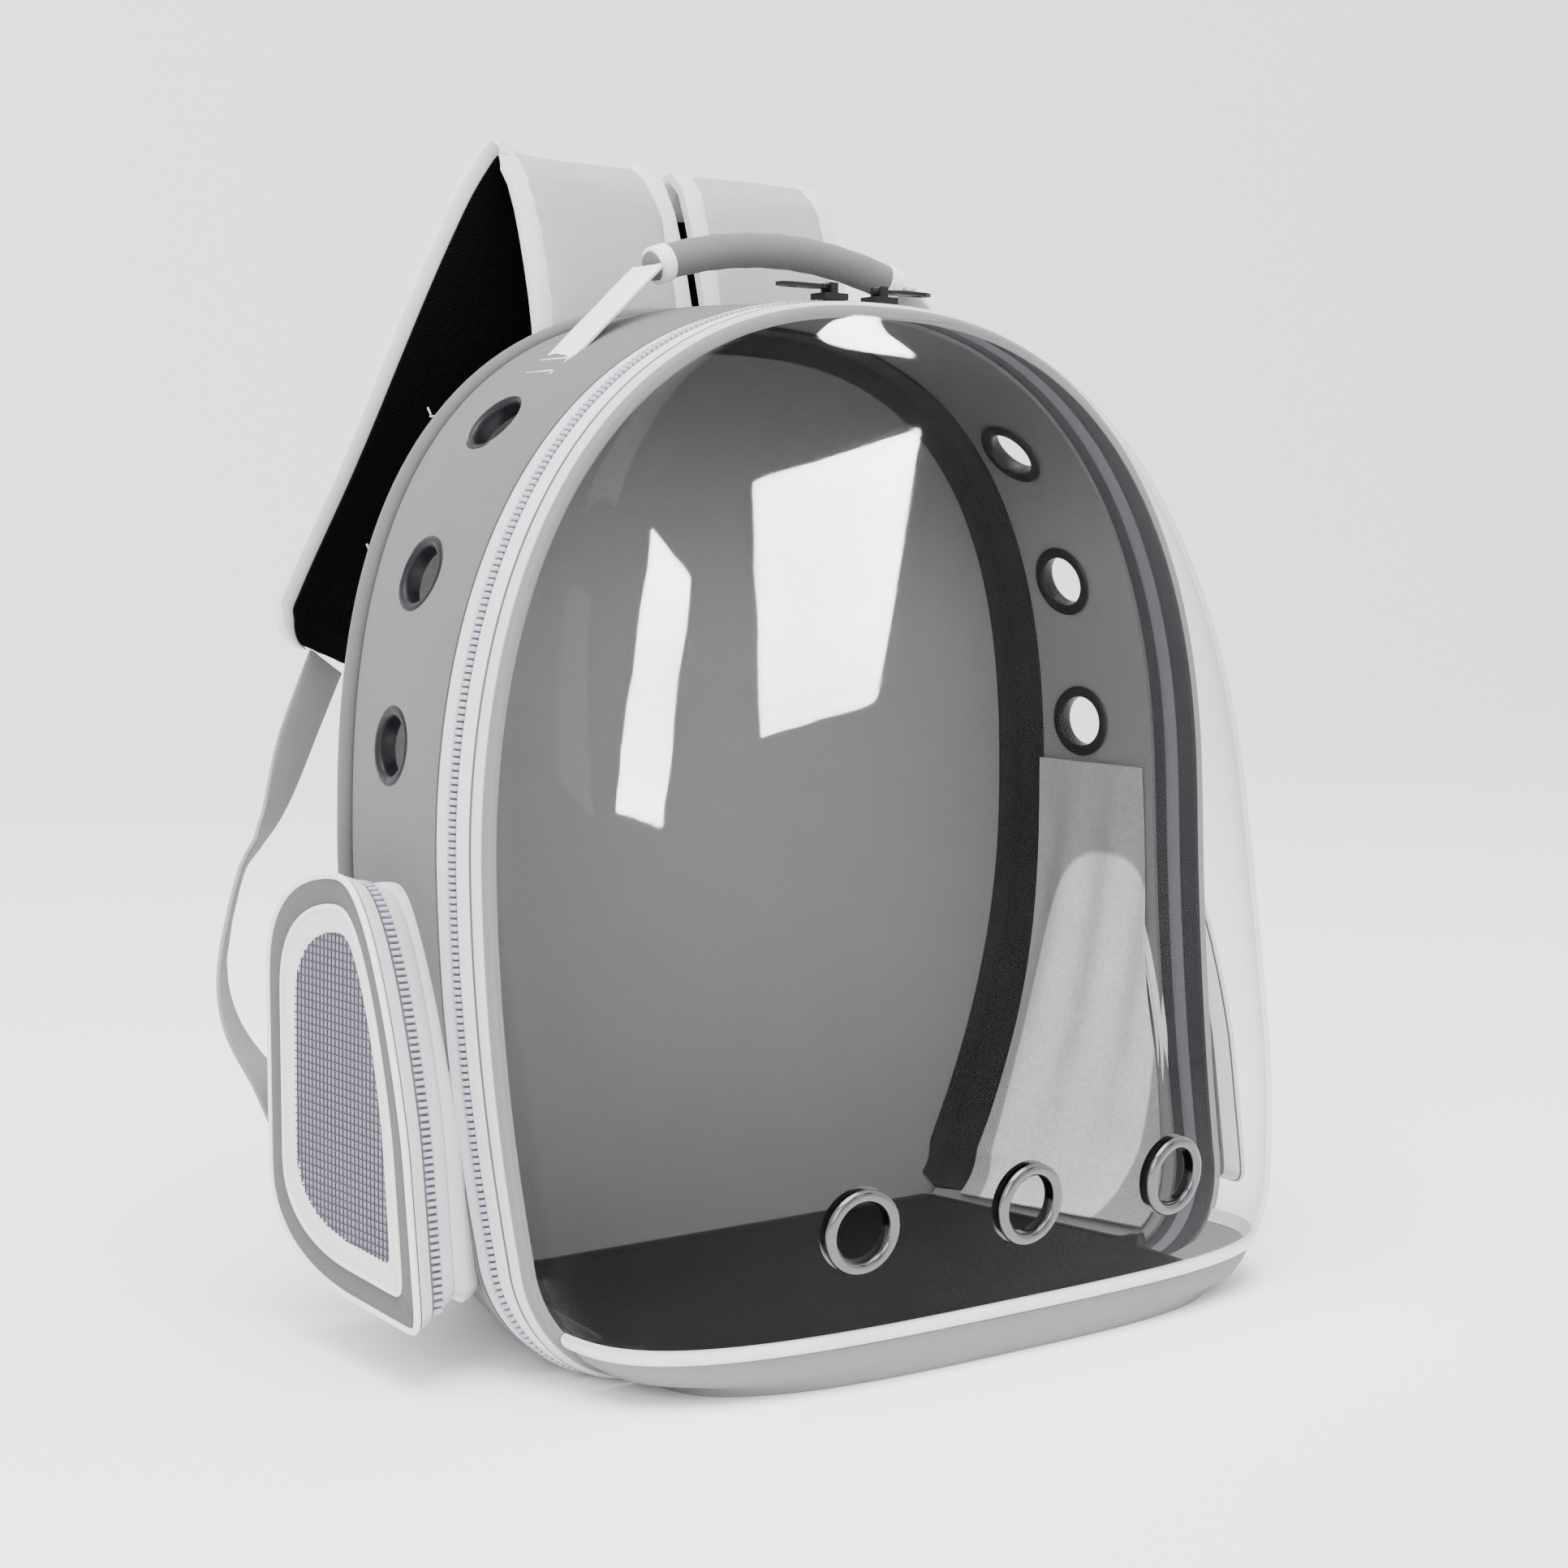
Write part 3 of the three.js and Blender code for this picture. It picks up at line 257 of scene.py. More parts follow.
plum_metal = moulded("plum_plated_metal", (0.006, 0.0055, 0.008), 0.42, specular=0.22)
chrome = moulded("dark_chrome_ring", (0.13, 0.13, 0.135), 0.18, metal=1.0)
teeth_plastic = moulded("lavender_zip_teeth", (0.42, 0.405, 0.49), 0.45)
piping_plastic = moulded("white_piping", (0.70, 0.70, 0.71), 0.45)
thread_paint = moulded("sewing_thread", (0.60, 0.60, 0.60), 0.7)
pale_thread = moulded("white_sewing_thread", (0.82, 0.82, 0.82), 0.7)
print("smooth finishes ready")

# %% [markdown]
# ## Clear plastic
# The door is a thin vacuum-formed sheet. A true glass shader would refract a sheet this thin hardly
# at all and would keep lamp light out of the cabin, so the sheet is a mix instead: see-through
# film, and over it a glossy coat whose share grows at glancing angles with Layer Weight. The
# glancing share gives the pale band that the bulge shows along its far edge.

# %% Clear sheet
clear_sheet, tree, gloss = new_material("clear_bubble_sheet")
wire(tree, gloss, Base_Color=(0.80, 0.80, 0.81, 1), Metallic=1.0, Roughness=0.02)
glance = add(tree, "ShaderNodeLayerWeight", Blend=0.3).outputs["Facing"]
where = add(tree, "ShaderNodeTexCoord").outputs["Object"]
haze_noise = add(tree, "ShaderNodeTexNoise", Vector=where, Scale=14.0)
haze = span(tree, haze_noise.outputs["Fac"], 0.3, 0.7, 0.002, 0.0035)
share = calc(tree, "ADD", calc(tree, "POWER", glance, 4.0), haze, use_clamp=True)
long_way = calc(tree, "POWER", glance, 1.6)
tint = mix(tree, long_way, (0.985, 0.985, 0.987, 1), (0.72, 0.72, 0.73, 1))
film = add(tree, "ShaderNodeBsdfTransparent", Color=tint)
mixed = add(tree, "ShaderNodeMixShader", i0=share, i1=film.outputs[0], i2=gloss.outputs[0])
tree.links.new(mixed.outputs[0], tree.nodes["Material Output"].inputs["Surface"])
print("clear sheet ready")

# %% [markdown]
# ## The shape of the body
# Seen from the front the bag is an arch: straight sides that tuck in a little at the foot, round
# lower corners and a superellipse for the top. Walking that outline in equal steps gives stations;
# every wall, tape and edge is a strip laid over the same stations, so neighbours always meet. The
# sizes repeat those of the part's source.

# %% Outlines
FRONT = dict(width=0.350, height=0.377, shoulder=0.170, power=2.33, tuck=0.005, corner=0.043)
BACK = dict(width=0.333, height=0.378, shoulder=0.179, power=2.57, tuck=0.038, corner=0.028)
SIDE_DEPTH, SIDE_WALL = 0.074, 0.003
DOOR_DEPTH, BINDING = 0.0295, 0.0075
BINDING_TURN = 0.0036
BUBBLE_REACH = 0.084
SEAM_SWEEP, DOOR_SWEEP, SWEEP_HEIGHT = 0.031, 0.027, 0.2
STATIONS = 321


def run_length(points):
    """The distance walked along a line of points, from 0 at the first."""
    return np.concatenate([[0], np.cumsum(np.linalg.norm(np.diff(points, axis=0), axis=1))])


def resampled(line, count, endpoint=True):
    """Points evenly spaced along a line."""
    length = run_length(line)
    even = np.linspace(0, length[-1], count, endpoint=endpoint)
    return np.stack([np.interp(even, length, column) for column in line.T], 1)


def outline(width, height, shoulder, power, tuck, corner):
    """Points and inward normals of an arch-shaped outline, from its low left to its low right."""
    half, foot = width / 2, width / 2 - tuck
    a = np.linspace(0, math.pi / 2, 80)
    low = np.stack([-(foot - corner + corner * np.sin(a)), corner * (1 - np.cos(a))], 1)
    z = np.linspace(corner, shoulder, 80)[1:]
    side = np.stack([-(half - tuck * ((shoulder - z) / (shoulder - corner)) ** 2), z], 1)
    b = np.linspace(0, math.pi / 2, 400)[1:]
    arch = np.stack([-half * np.maximum(np.cos(b), 0) ** (2 / power),
                     shoulder + (height - shoulder) * np.sin(b) ** (2 / power)], 1)
    left = np.concatenate([low, side, arch])
    both = np.concatenate([left, left[::-1][1:] * [-1, 1]])
    line = resampled(both, STATIONS)
    along = np.gradient(line, axis=0)
    along /= np.linalg.norm(along, axis=1)[:, None]
    normal = np.stack([along[:, 1], -along[:, 0]], 1)
    normal[0] = normal[-1] = (0, 1)
    return line, normal


front_line, front_normal = outline(**FRONT)
back_line, back_normal = outline(**BACK)
print("seam length", round(run_length(front_line)[-1], 3), "m")


# %% Points on the strips
def seam_lean(z):
    """The share of its forward sweep that the seam has at a height: 1 at the foot, 0 above."""
    return np.clip((SWEEP_HEIGHT - z) / SWEEP_HEIGHT, 0, 1) ** 2


def seam_y(z):
    """Where the front seam stands, front to back, at a height."""
    return -SEAM_SWEEP * seam_lean(z)


def between(front, back, share):
    """Lines a share of the way from the front outline to the back one."""
    return front[:, None] * (1 - share) + back[:, None] * share


def wall_grid(shares, depth, rows=slice(None)):
    """Points of the side wall: share 0 is the front seam and 1 the back, depth goes inwards."""
    shares = np.asarray(shares, float)[None, :, None]
    line = between(front_line[rows], back_line[rows], shares)
    normal = between(front_normal[rows], back_normal[rows], shares)
    normal = normal / np.linalg.norm(normal, axis=2, keepdims=True)
    flat = line + normal * np.broadcast_to(np.asarray(depth, float), line.shape[:2])[..., None]
    seam = seam_y(front_line[rows][:, 1])[:, None]
    y = seam * (1 - shares[..., 0]) + SIDE_DEPTH * shares[..., 0]
    return np.stack([flat[..., 0], y, flat[..., 1]], 2)


def door_grid(forward, depth):
    """Points of the zip and the door's edge: forward from the seam, depth inwards."""
    forward = np.asarray(forward, float)[None, :]
    turn = np.clip((forward - DOOR_DEPTH + BINDING) / BINDING, 0, 1)
    inset = BINDING_TURN * turn ** 2 + np.asarray(depth, float)
    forward_sweep = SEAM_SWEEP + (DOOR_SWEEP - SEAM_SWEEP) * forward / DOOR_DEPTH
    flat = front_line[:, None] + front_normal[:, None] * inset[..., None]
    y = -forward - forward_sweep * seam_lean(front_line[:, 1])[:, None]
    return np.stack([flat[..., 0], y, flat[..., 1]], 2)


door_edge = door_grid([DOOR_DEPTH], 0)[: STATIONS // 2 + 1, 0]
BULGE = np.array([(0, .89), (.05, .93), (.15, 1), (.23, 1), (.40, .87), (.58, .70), (.70, .55),
                  (.80, .39),
                  (.90, .21), (.97, .08), (1, .03)])


def smooth_table(table, x):
    """A rounded curve through a table's rows: linear steps averaged over a short window."""
    window = np.linspace(-0.05, 0.05, 21)
    return np.mean([np.interp(np.clip(x + w, 0, 1), table[:, 0], table[:, 1]) for w in window],
                   axis=0)


def front_rows(heights, inset=0.0, columns=97, clearance=0.0012):
    """Rows of the clear front's plan curve, each evenly spaced from its left edge to its right."""
    rows = []
    for z in heights:
        half = np.interp(z, door_edge[:, 2], -door_edge[:, 0]) - 0.0003 - inset
        y_edge = np.interp(z, door_edge[:, 2], door_edge[:, 1])
        rise = min(max(z / (FRONT["height"] - BINDING_TURN), 0), 1)
        power = 3.1 + (2.4 - 3.1) * rise
        reach = max(y_edge + DOOR_DEPTH + float(smooth_table(BULGE, rise)) * BUBBLE_REACH,
                    0.0024) - inset
        angle = np.linspace(0, math.pi, 700)
        x = -half * np.sign(np.cos(angle)) * np.abs(np.cos(angle)) ** (2 / power)
        y = y_edge - clearance - reach * np.maximum(0, np.sin(angle)) ** (2 / power)
        length = np.concatenate([[0], np.cumsum(np.hypot(np.diff(x), np.diff(y)))])
        even = np.linspace(0, length[-1], columns)
        rows.append(np.stack([np.interp(even, length, x), np.interp(even, length, y),
                              np.full(columns, z)], 1))
    return np.array(rows)


print("door edge from", round(door_edge[0, 2], 4), "to", round(door_edge[-1, 2], 4), "m high")


# %% Mesh helpers
def make_object(name, points, faces, uv=None, slots=None, materials=(), sharp=40, body="carrier"):
    """A mesh object riding on a body, its faces outwards, smooth up to an angle."""
    mesh = bpy.data.meshes.new(name)
    mesh.from_pydata([tuple(p) for p in points], [], [tuple(f) for f in faces])
    if uv is not None:
        layer = mesh.uv_layers.new(name="cloth")
        index = np.zeros(len(mesh.loops), np.int32)
        mesh.loops.foreach_get("vertex_index", index)
        layer.data.foreach_set("uv", np.asarray(uv, np.float32)[index].ravel())
    for material in materials:
        mesh.materials.append(material)
    if slots is not None:
        mesh.polygons.foreach_set("material_index", np.asarray(slots, np.int32))
    built = bmesh.new()
    built.from_mesh(mesh)
    bmesh.ops.remove_doubles(built, verts=built.verts, dist=1e-7)
    bmesh.ops.dissolve_degenerate(built, edges=built.edges, dist=1e-8)
    if built.calc_volume(signed=True) < 0:
        bmesh.ops.reverse_faces(built, faces=built.faces)
    built.to_mesh(mesh)
    built.free()
    mesh.polygons.foreach_set("use_smooth", [True] * len(mesh.polygons))
    mesh.set_sharp_from_angle(angle=math.radians(sharp))
    made = bpy.data.objects.new(name, mesh)
    bpy.context.scene.collection.objects.link(made)
    if body:
        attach(made, body)
    return made


def shell(name, outer, inner, materials, closed=False, **options):
    """A wall between two grids. Slot 0 is the outer face and the rims, slot 1 the inner face."""
    n, m = outer.shape[:2]
    points = np.concatenate([outer.reshape(-1, 3), inner.reshape(-1, 3)])
    at = lambda i, j, side=0: side * n * m + (i % n) * m + j
    faces, slots = [], []
    for i in range(n if closed else n - 1):
        for j in range(m - 1):
            faces.append((at(i, j), at(i + 1, j), at(i + 1, j + 1), at(i, j + 1)))
            faces.append((at(i, j + 1, 1), at(i + 1, j + 1, 1), at(i + 1, j, 1), at(i, j, 1)))
            slots += [0, 1]
        faces.append((at(i + 1, 0), at(i, 0), at(i, 0, 1), at(i + 1, 0, 1)))
        faces.append((at(i, m - 1), at(i + 1, m - 1), at(i + 1, m - 1, 1), at(i, m - 1, 1)))
        slots += [0, 0]
    if not closed:
        for j in range(m - 1):
            faces.append((at(0, j), at(0, j + 1), at(0, j + 1, 1), at(0, j, 1)))
            faces.append((at(n - 1, j + 1), at(n - 1, j), at(n - 1, j, 1), at(n - 1, j + 1, 1)))
            slots += [0, 0]
    step_u = np.linalg.norm(np.diff(outer, axis=0), axis=2).mean(1)
    step_v = np.linalg.norm(np.diff(outer, axis=1), axis=2).mean(0)
    u = np.concatenate([[0], np.cumsum(step_u)])
    v = np.concatenate([[0], np.cumsum(step_v)])
    uv = np.stack(np.meshgrid(u, v, indexing="ij"), 2).reshape(-1, 2)
    mats = materials if len(materials) == 2 else [materials[0], materials[0]]
    return make_object(name, points, faces, np.concatenate([uv, uv]), slots, mats, **options)


def sweep(name, rings, materials, caps=True, **options):
    """A solid through rings of points, with a fan at each end."""
    rings = np.asarray(rings, float)
    n, m = rings.shape[:2]
    points = list(rings.reshape(-1, 3))
    faces = [(i * m + j, i * m + (j + 1) % m, (i + 1) * m + (j + 1) % m, (i + 1) * m + j)
             for i in range(n - 1) for j in range(m)]
    around, along = run_length(rings[n // 2]), run_length(rings.mean(1))
    uv = [(a, b) for a in along for b in around]
    if caps:
        for end, ring in ((0, rings[0]), (n - 1, rings[-1])):
            points.append(ring.mean(0))
            uv.append((along[end], 0))
            centre = len(points) - 1
            for j in range(m):
                face = (end * m + j, centre, end * m + (j + 1) % m)
                faces.append(face if end == 0 else face[::-1])
    return make_object(name, points, faces, uv, None, materials, **options)


def applied(made):
    """Gives an object the mesh that its modifiers make, and removes them."""
    bpy.context.view_layer.update()
    shape = made.evaluated_get(bpy.context.evaluated_depsgraph_get())
    mesh = bpy.data.meshes.new_from_object(shape)
    made.modifiers.clear()
    made.data = mesh
    return mesh


def cut(target, tools):
    """Cuts the tools out of the target with an exact boolean, then removes them."""
    for tool in tools:
        modifier = target.modifiers.new("cut", "BOOLEAN")
        modifier.operation = "DIFFERENCE"
        modifier.solver = "EXACT"
        modifier.object = tool
    mesh = applied(target)
    mesh.polygons.foreach_set("use_smooth", [True] * len(mesh.polygons))
    mesh.set_sharp_from_angle(angle=math.radians(40))
    for tool in tools:
        bpy.data.objects.remove(tool)


def turned(name, profile, centre, normal, materials, sides=48, **options):
    """A closed profile of (radius, height) turned about an axis."""
    a = np.linspace(0, 2 * math.pi, sides, endpoint=False)
    profile = np.asarray(profile, float)
    basis = np.array(Vector(normal).to_track_quat("Z", "Y").to_matrix())
    ring = np.stack([np.outer(np.cos(a), profile[:, 0]), np.outer(np.sin(a), profile[:, 0]),
                     np.tile(profile[:, 1], (sides, 1))], 2)
    points = ring.reshape(-1, 3) @ basis.T + np.asarray(centre)
    m = len(profile)
    faces = [(i * m + j, ((i + 1) % sides) * m + j, ((i + 1) % sides) * m + (j + 1) % m,
              i * m + (j + 1) % m)
             for i in range(sides) for j in range(m)]
    return make_object(name, points, faces, None, None, materials, **options)


def tool_cylinder(centre, normal, radius, half):
    """A plain cylinder used only to cut a hole."""
    a = np.linspace(0, 2 * math.pi, 40, endpoint=False)
    basis = np.array(Vector(normal).to_track_quat("Z", "Y").to_matrix())
    rings = [np.stack([radius * np.cos(a), radius * np.sin(a), np.full(40, h)], 1) @ basis.T
             + np.asarray(centre)
             for h in (-half, half)]
    return sweep("tool", rings, [], body=None)


print("helpers ready")

# %% [markdown]
# ## The side wall
# One band of padded cloth runs up one side, over the top and down the other. Real padded cloth is
# never dead flat, so the strip is pushed out a little between its seams and given slow, shallow
# waves. The vent holes and the openings behind the pockets are cut after that, because a boolean on
# the finished shape keeps their rims clean.

# %% Side wall
def waves(points, size, seed=0):
    """Slow uneven waves over a grid of points, between -size and size."""
    x, y, z = (points[..., k] for k in range(3))
    return size * (0.5 * np.sin(23 * z + 31 * y + 9 * x + seed) + 0.3 * np.sin(47 * z - 36 * y
                                                                               + 21 * x + 2 * seed)
                   + 0.2 * np.sin(83 * y + 71 * z - 55 * x + seed))


shares = np.linspace(0, 1, 27)
puff = 0.0022 * np.sin(math.pi * shares) ** 0.7
flat_wall = wall_grid(shares, 0)
outer_wall = wall_grid(shares, -(puff[None] + waves(flat_wall, 0.0007)
                                 * np.sin(math.pi * shares)[None]))
side_wall = shell("side_wall_cloth", outer_wall, wall_grid(shares, SIDE_WALL),
                  [grey_cloth, inner_cloth])


def wall_x(y, z):
    """How far the wall's middle stands from the centre plane at a depth y and a height z."""
    half = slice(0, STATIONS // 2 + 1)
    front = np.interp(z, front_line[half][:, 1], -front_line[half][:, 0])
    back = np.interp(z, back_line[half][:, 1], -back_line[half][:, 0])
    seam = seam_y(z)
    share = np.clip((y - seam) / (SIDE_DEPTH - seam), 0, 1)
    return front * (1 - share) + back * share - 0.0012


# %% Pocket outline
def pocket_loop(count=120):
    """The pocket's outline in a unit box, starting at its low front corner."""
    pieces = [[(0, 0), (.45, .02)], [(.45, .02), (.9, .05), (.98, .22)], [(.98, .22), (1, .75)],
              [(1, .75), (1, .93), (.75, 1), (.5, 1)], [(.5, 1), (.33, 1), (.16, .66), (.08, .4)],
              [(.08, .4), (0, 0)]]
    points = []
    for knots in pieces:
        t = np.linspace(0, 1, 60)[:-1, None]
        k = np.array(knots, float)
        if len(k) == 2:
            points.append(k[0] * (1 - t) + k[1] * t)
        elif len(k) == 3:
            points.append(k[0] * (1 - t) ** 2 + 2 * k[1] * t * (1 - t) + k[2] * t ** 2)
        else:
            points.append(k[0] * (1 - t) ** 3 + 3 * k[1] * t * (1 - t) ** 2 + 3 * k[2] * t ** 2
                          * (1 - t) + k[3] * t ** 3)
    line = np.concatenate(points + [[[0, 0]]])
    line = resampled(line, count, endpoint=False)
    for _ in range(3):
        line = (np.roll(line, 1, 0) + 2 * line + np.roll(line, -1, 0)) / 4
    return line


LOOP = pocket_loop()
POCKET_WIDE, POCKET_HIGH, POCKET_REACH = 0.109, 0.150, 0.027
POCKET_Y, POCKET_Z, POCKET_ROOT = 0.0235, 0.096, 0.170


def pocket_ring(side, lift, inset=0.0, on_wall=False):
    """One loop of a side pocket, lift metres out from its root; it widens as it comes out."""
    share = min(max(lift / POCKET_REACH, 0), 1)
    wide, high = POCKET_WIDE * (0.8 + 0.2 * share), POCKET_HIGH * (0.88 + 0.12 * share)
    y = POCKET_Y + 0.005 * (1 - share) + (LOOP[:, 0] - 0.5) * (wide - 2 * inset)
    z = POCKET_Z + (LOOP[:, 1] - 0.5) * (high - 2 * inset)
    x = np.full(len(LOOP), POCKET_ROOT + lift)
    if on_wall:
        x = wall_x(y, z) + lift
    return np.stack([side * x, y, z], 1)


def inner_line(ring, inset):
    """The loop drawn in by an inset towards its middle, in its own plane."""
    centre = (ring.max(0) + ring.min(0)) / 2
    span = ring.max(0) - ring.min(0)
    scale = np.array([1, 1 - 2 * inset / span[1], 1 - 2 * inset / span[2]])
    return (ring - centre) * scale + centre


# %% Cut the side wall
def eyelet_frame(name):
    """Centre and axis of an eyelet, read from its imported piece."""
    points = np.array([v.co for v in nodes[name].data.vertices])
    centre = (points.max(0) + points.min(0)) / 2
    values, vectors = np.linalg.eigh(np.cov((points - points.mean(0)).T))
    axis = vectors[:, 0]
    if name.startswith("side"):
        axis = axis * (np.sign(axis[0]) * np.sign(centre[0]))
    else:
        axis = axis * -np.sign(axis[1])
    return centre, axis


side_names = ["side_eyelet_%s_%d" % (s, i) for s in ("left", "right") for i in (1, 2, 3)]
front_names = ["bubble_eyelet_%d" % i for i in (1, 2, 3)]
eyelets = {name: eyelet_frame(name) for name in side_names + front_names}
HOLE_RADIUS, HOLE_REACH = 0.0124, 0.02
tools = [tool_cylinder(*eyelets[name], HOLE_RADIUS, HOLE_REACH) for name in side_names]
for side in (-1, 1):
    window = [inner_line(pocket_ring(side, lift), 0.016) for lift in (-0.06, 0.02)]
    tools.append(sweep("tool", window, [], body=None))
cut(side_wall, tools)
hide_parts("side_wall")
print("side wall:", len(side_wall.data.polygons), "faces, with", len(tools), "cuts")

# %% [markdown]
# ## The back panel, the base and the mat
# The back is a stuffed board that rests against the wearer. It is a closed form built from rings
# drawn in from its outline, thick in the middle and thin at the seam, and a row of channels is sewn
# across the back of it. The mat on the floor of the cabin is a softer board with a piped edge.

# %% Padded boards
def board(name, line, low, high, crown_low, crown_high, materials, inset_rows=14, round_edge=0.003,
          plane="XZ", quilt=None,
          **options):
    """A closed pad inside a planar outline; its two faces bulge towards the middle."""
    line = np.asarray(line, float)
    centre = (line.max(0) + line.min(0)) / 2
    shrink = np.concatenate([[0, 0.004, 0.012], np.linspace(0.03, 0.98, inset_rows)])
    rings = []
    for face in (0, 1):
        rows = []
        for s in shrink:
            ring = centre + (line - centre) * (1 - s)
            edge = max(0, 1 - s / 0.012) ** 2 * min(round_edge, (high - low) / 2)
            dome = math.sin(min(s * 2.4, 1) * math.pi / 2)
            level = high - edge + crown_high * dome if face else low + edge - crown_low * dome
            level = np.full(len(ring), level)
            if quilt is not None and face == 1:
                level = level - quilt(ring) * min(s * 6, 1)
            across, up = ring.T
            rows.append(np.stack([across, level, up] if plane == "XZ" else [across, up, level], 1))
        rings.append(rows)
    made = sweep(name, rings[0][::-1] + rings[1], materials, **options)
    spots = np.array([vertex.co for vertex in made.data.vertices])[:, (0, 2) if plane == "XZ"
                                                                   else (0, 1)]
    index = np.zeros(len(made.data.loops), np.int32)
    made.data.loops.foreach_get("vertex_index", index)
    made.data.uv_layers["cloth"].data.foreach_set("uv", spots[index].astype(np.float32).ravel())
    return made


last_corner = [back_line[-1, 0] - 0.0004, 0.0003]
full_back = np.concatenate([back_line[::4] + back_normal[::4] * 0.0003, [last_corner]])


def channels(ring):
    """Sewn channels across the board: a narrow groove every 75 mm."""
    z = ring[:, 1]
    return 0.0022 * np.exp(-((((z + 0.037) % 0.075) - 0.0375) / 0.0045) ** 2)


back_panel = board("back_panel_pad", full_back, 0.0743, 0.0823, 0.0008, 0.0035, [back_cloth],
                   quilt=channels)
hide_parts("back_panel")


def footprint(name, count=120):
    """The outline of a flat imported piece, evenly spaced and slightly rounded."""
    points = np.unique(np.round([tuple(v.co)[:2] for v in nodes[name].data.vertices], 5), axis=0)
    middle = points.mean(0)
    points = points[np.argsort(np.arctan2(points[:, 1] - middle[1], points[:, 0] - middle[0]))]
    return resampled(np.concatenate([points, points[:1]]), count, endpoint=False)


base = board("base_panel_cloth", footprint("base_panel"), 0.0, 0.003, 0, 0, [strip_cloth],
             round_edge=0.001, plane="XY")
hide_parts("base_panel")
mat_line = footprint("floor_mat")
mat = board("floor_mat_pad", mat_line * 0.99, 0.0034, 0.0078, 0, 0.0012, [mat_cloth],
            round_edge=0.002, plane="XY")
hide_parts("floor_mat")
print("pads:", len(back_panel.data.polygons), len(base.data.polygons), len(mat.data.polygons),
      "faces")


# %% Tubes and ribbons
def tube(name, path, radius, materials, closed=False, sides=10, **options):
    """A round cord of piping along a path, carried with a minimum of twist."""
    path = np.asarray(path, float)
    tangent = (np.roll(path, -1, 0) - np.roll(path, 1, 0)) if closed else np.gradient(path, axis=0)
    tangent /= np.linalg.norm(tangent, axis=1)[:, None]
    side = np.cross(tangent[0], (0.13, 0.31, 0.94))
    rings = []
    a = np.linspace(0, 2 * math.pi, sides, endpoint=False)
    for point, along in zip(path, tangent):
        side = side - along * np.dot(side, along)
        side = side / np.linalg.norm(side)
        up = np.cross(along, side)
        rings.append(point + radius * (np.outer(np.cos(a), side) + np.outer(np.sin(a), up)))
    if closed:
        rings.append(rings[0])
    return sweep(name, rings, materials, caps=not closed, **options)


mat_ring = np.concatenate([mat_line * 0.99, np.full((len(mat_line), 1), 0.0072)], 1)
mat_piping = tube("floor_mat_piping", mat_ring, 0.0018, [dark_cloth], closed=True)
PIPING = 0.0036
edge_x, edge_z = back_line[::2].T
edge_path = np.stack([edge_x, np.full(len(edge_x), 0.0786), np.maximum(edge_z, PIPING)], 1)
back_piping = tube("back_panel_piping", edge_path, PIPING, [grey_cloth])

trim_rows = wall_grid([0.80, 0.90, 1.0], 0.0034)
trim_rows[..., 1] = np.array([0.059, 0.0665, 0.074])[None]
trim_under = wall_grid([0.80, 0.90, 1.0], 0.0050)
trim_under[..., 1] = trim_rows[..., 1]
keep = slice(7, STATIONS - 7)
back_binding = shell("back_binding_tape", trim_rows[keep], trim_under[keep], [dark_cloth])
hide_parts("back_binding")
rim_rows = []
for level in (0.0729, 0.0738):
    flat = back_line[keep, None] + back_normal[keep, None] * np.linspace(0.0052, 0.0145,
                                                                         4)[None, :, None]
    rim_rows.append(np.stack([flat[..., 0], np.full(flat.shape[:2], level), flat[..., 1]], 2))
corner_tape = shell("back_corner_tape", rim_rows[0], rim_rows[1], [dark_cloth])
print("piping and binding ready")

# %% [markdown]
# ## The main zip and the door's edge
# The zip is two woven tapes with a row of teeth between them. Inside the bag the tapes are painted
# darker than outside, as painted shade where the light doesn't reach. A colour ramp over the strip's
# own width paints each band: the grey stitched line, the pale band and the brown turned edge of the
# door are all one ribbon.

# %% Banded cloth
def banded(name, stops, pitch=0.0012, relief=0.00012, rough=0.75, start=0.0, end=1.0):
    """Cloth coloured in bands across its width; stops are (metres across, colour)."""
    material = cloth(name, (0.5, 0.5, 0.5), pitch=pitch, relief=relief, rough=rough)
    tree = material.node_tree
    uv = add(tree, "ShaderNodeTexCoord").outputs["UV"]
    across = add(tree, "ShaderNodeSeparateXYZ", Vector=uv)
    place = add(tree, "ShaderNodeMapRange", i0=across.outputs["Y"], i1=start, i2=end, i3=0.0,
                i4=1.0)
    ramp = add(tree, "ShaderNodeValToRGB", i0=place.outputs[0])
    elements = ramp.color_ramp.elements
    while len(elements) < len(stops):
        elements.new(0.5)
    for element, (position, colour) in zip(elements, stops):
        element.position = (position - start) / (end - start)
        element.color = (*colour, 1)
    for node in tree.nodes:
        if node.type == "MIX" and node.blend_type == "MULTIPLY":
            tree.links.new(ramp.outputs["Color"], node.inputs[6])
    return material


LINE, PALE, BROWN = (0.07, 0.07, 0.077), (0.56, 0.56, 0.57), (0.17, 0.163, 0.16)
TAPE = (0.6, 0.6, 0.62)
# The two inner tones are painted shade for the tapes' inner side.
PLUM_SHADE, LAVENDER_SHADE = (0.02, 0.019, 0.023), (0.13, 0.127, 0.138)
door_edge_paint = banded("door_edge_bands", [(0, LINE), (0.0012, LINE), (0.0016, PALE),
                                             (0.0054, PALE), (0.0060, BROWN),
                                             (0.0090, BROWN)], end=0.0102)
outer_tape_paint = banded("body_tape_bands", [(0, LINE), (0.0008, LINE), (0.0012, TAPE),
                                              (0.0085, TAPE)],
                          end=0.0088)
inner_tape_shade_paint = banded("inner_tape_shaded_bands", [(0, PLUM_SHADE), (0.0056, PLUM_SHADE), (0.0062, LAVENDER_SHADE),
                                               (0.018, LAVENDER_SHADE),
                                               (0.0186, PLUM_SHADE), (0.0295, PLUM_SHADE)], end=0.030)
print("banded tapes ready")


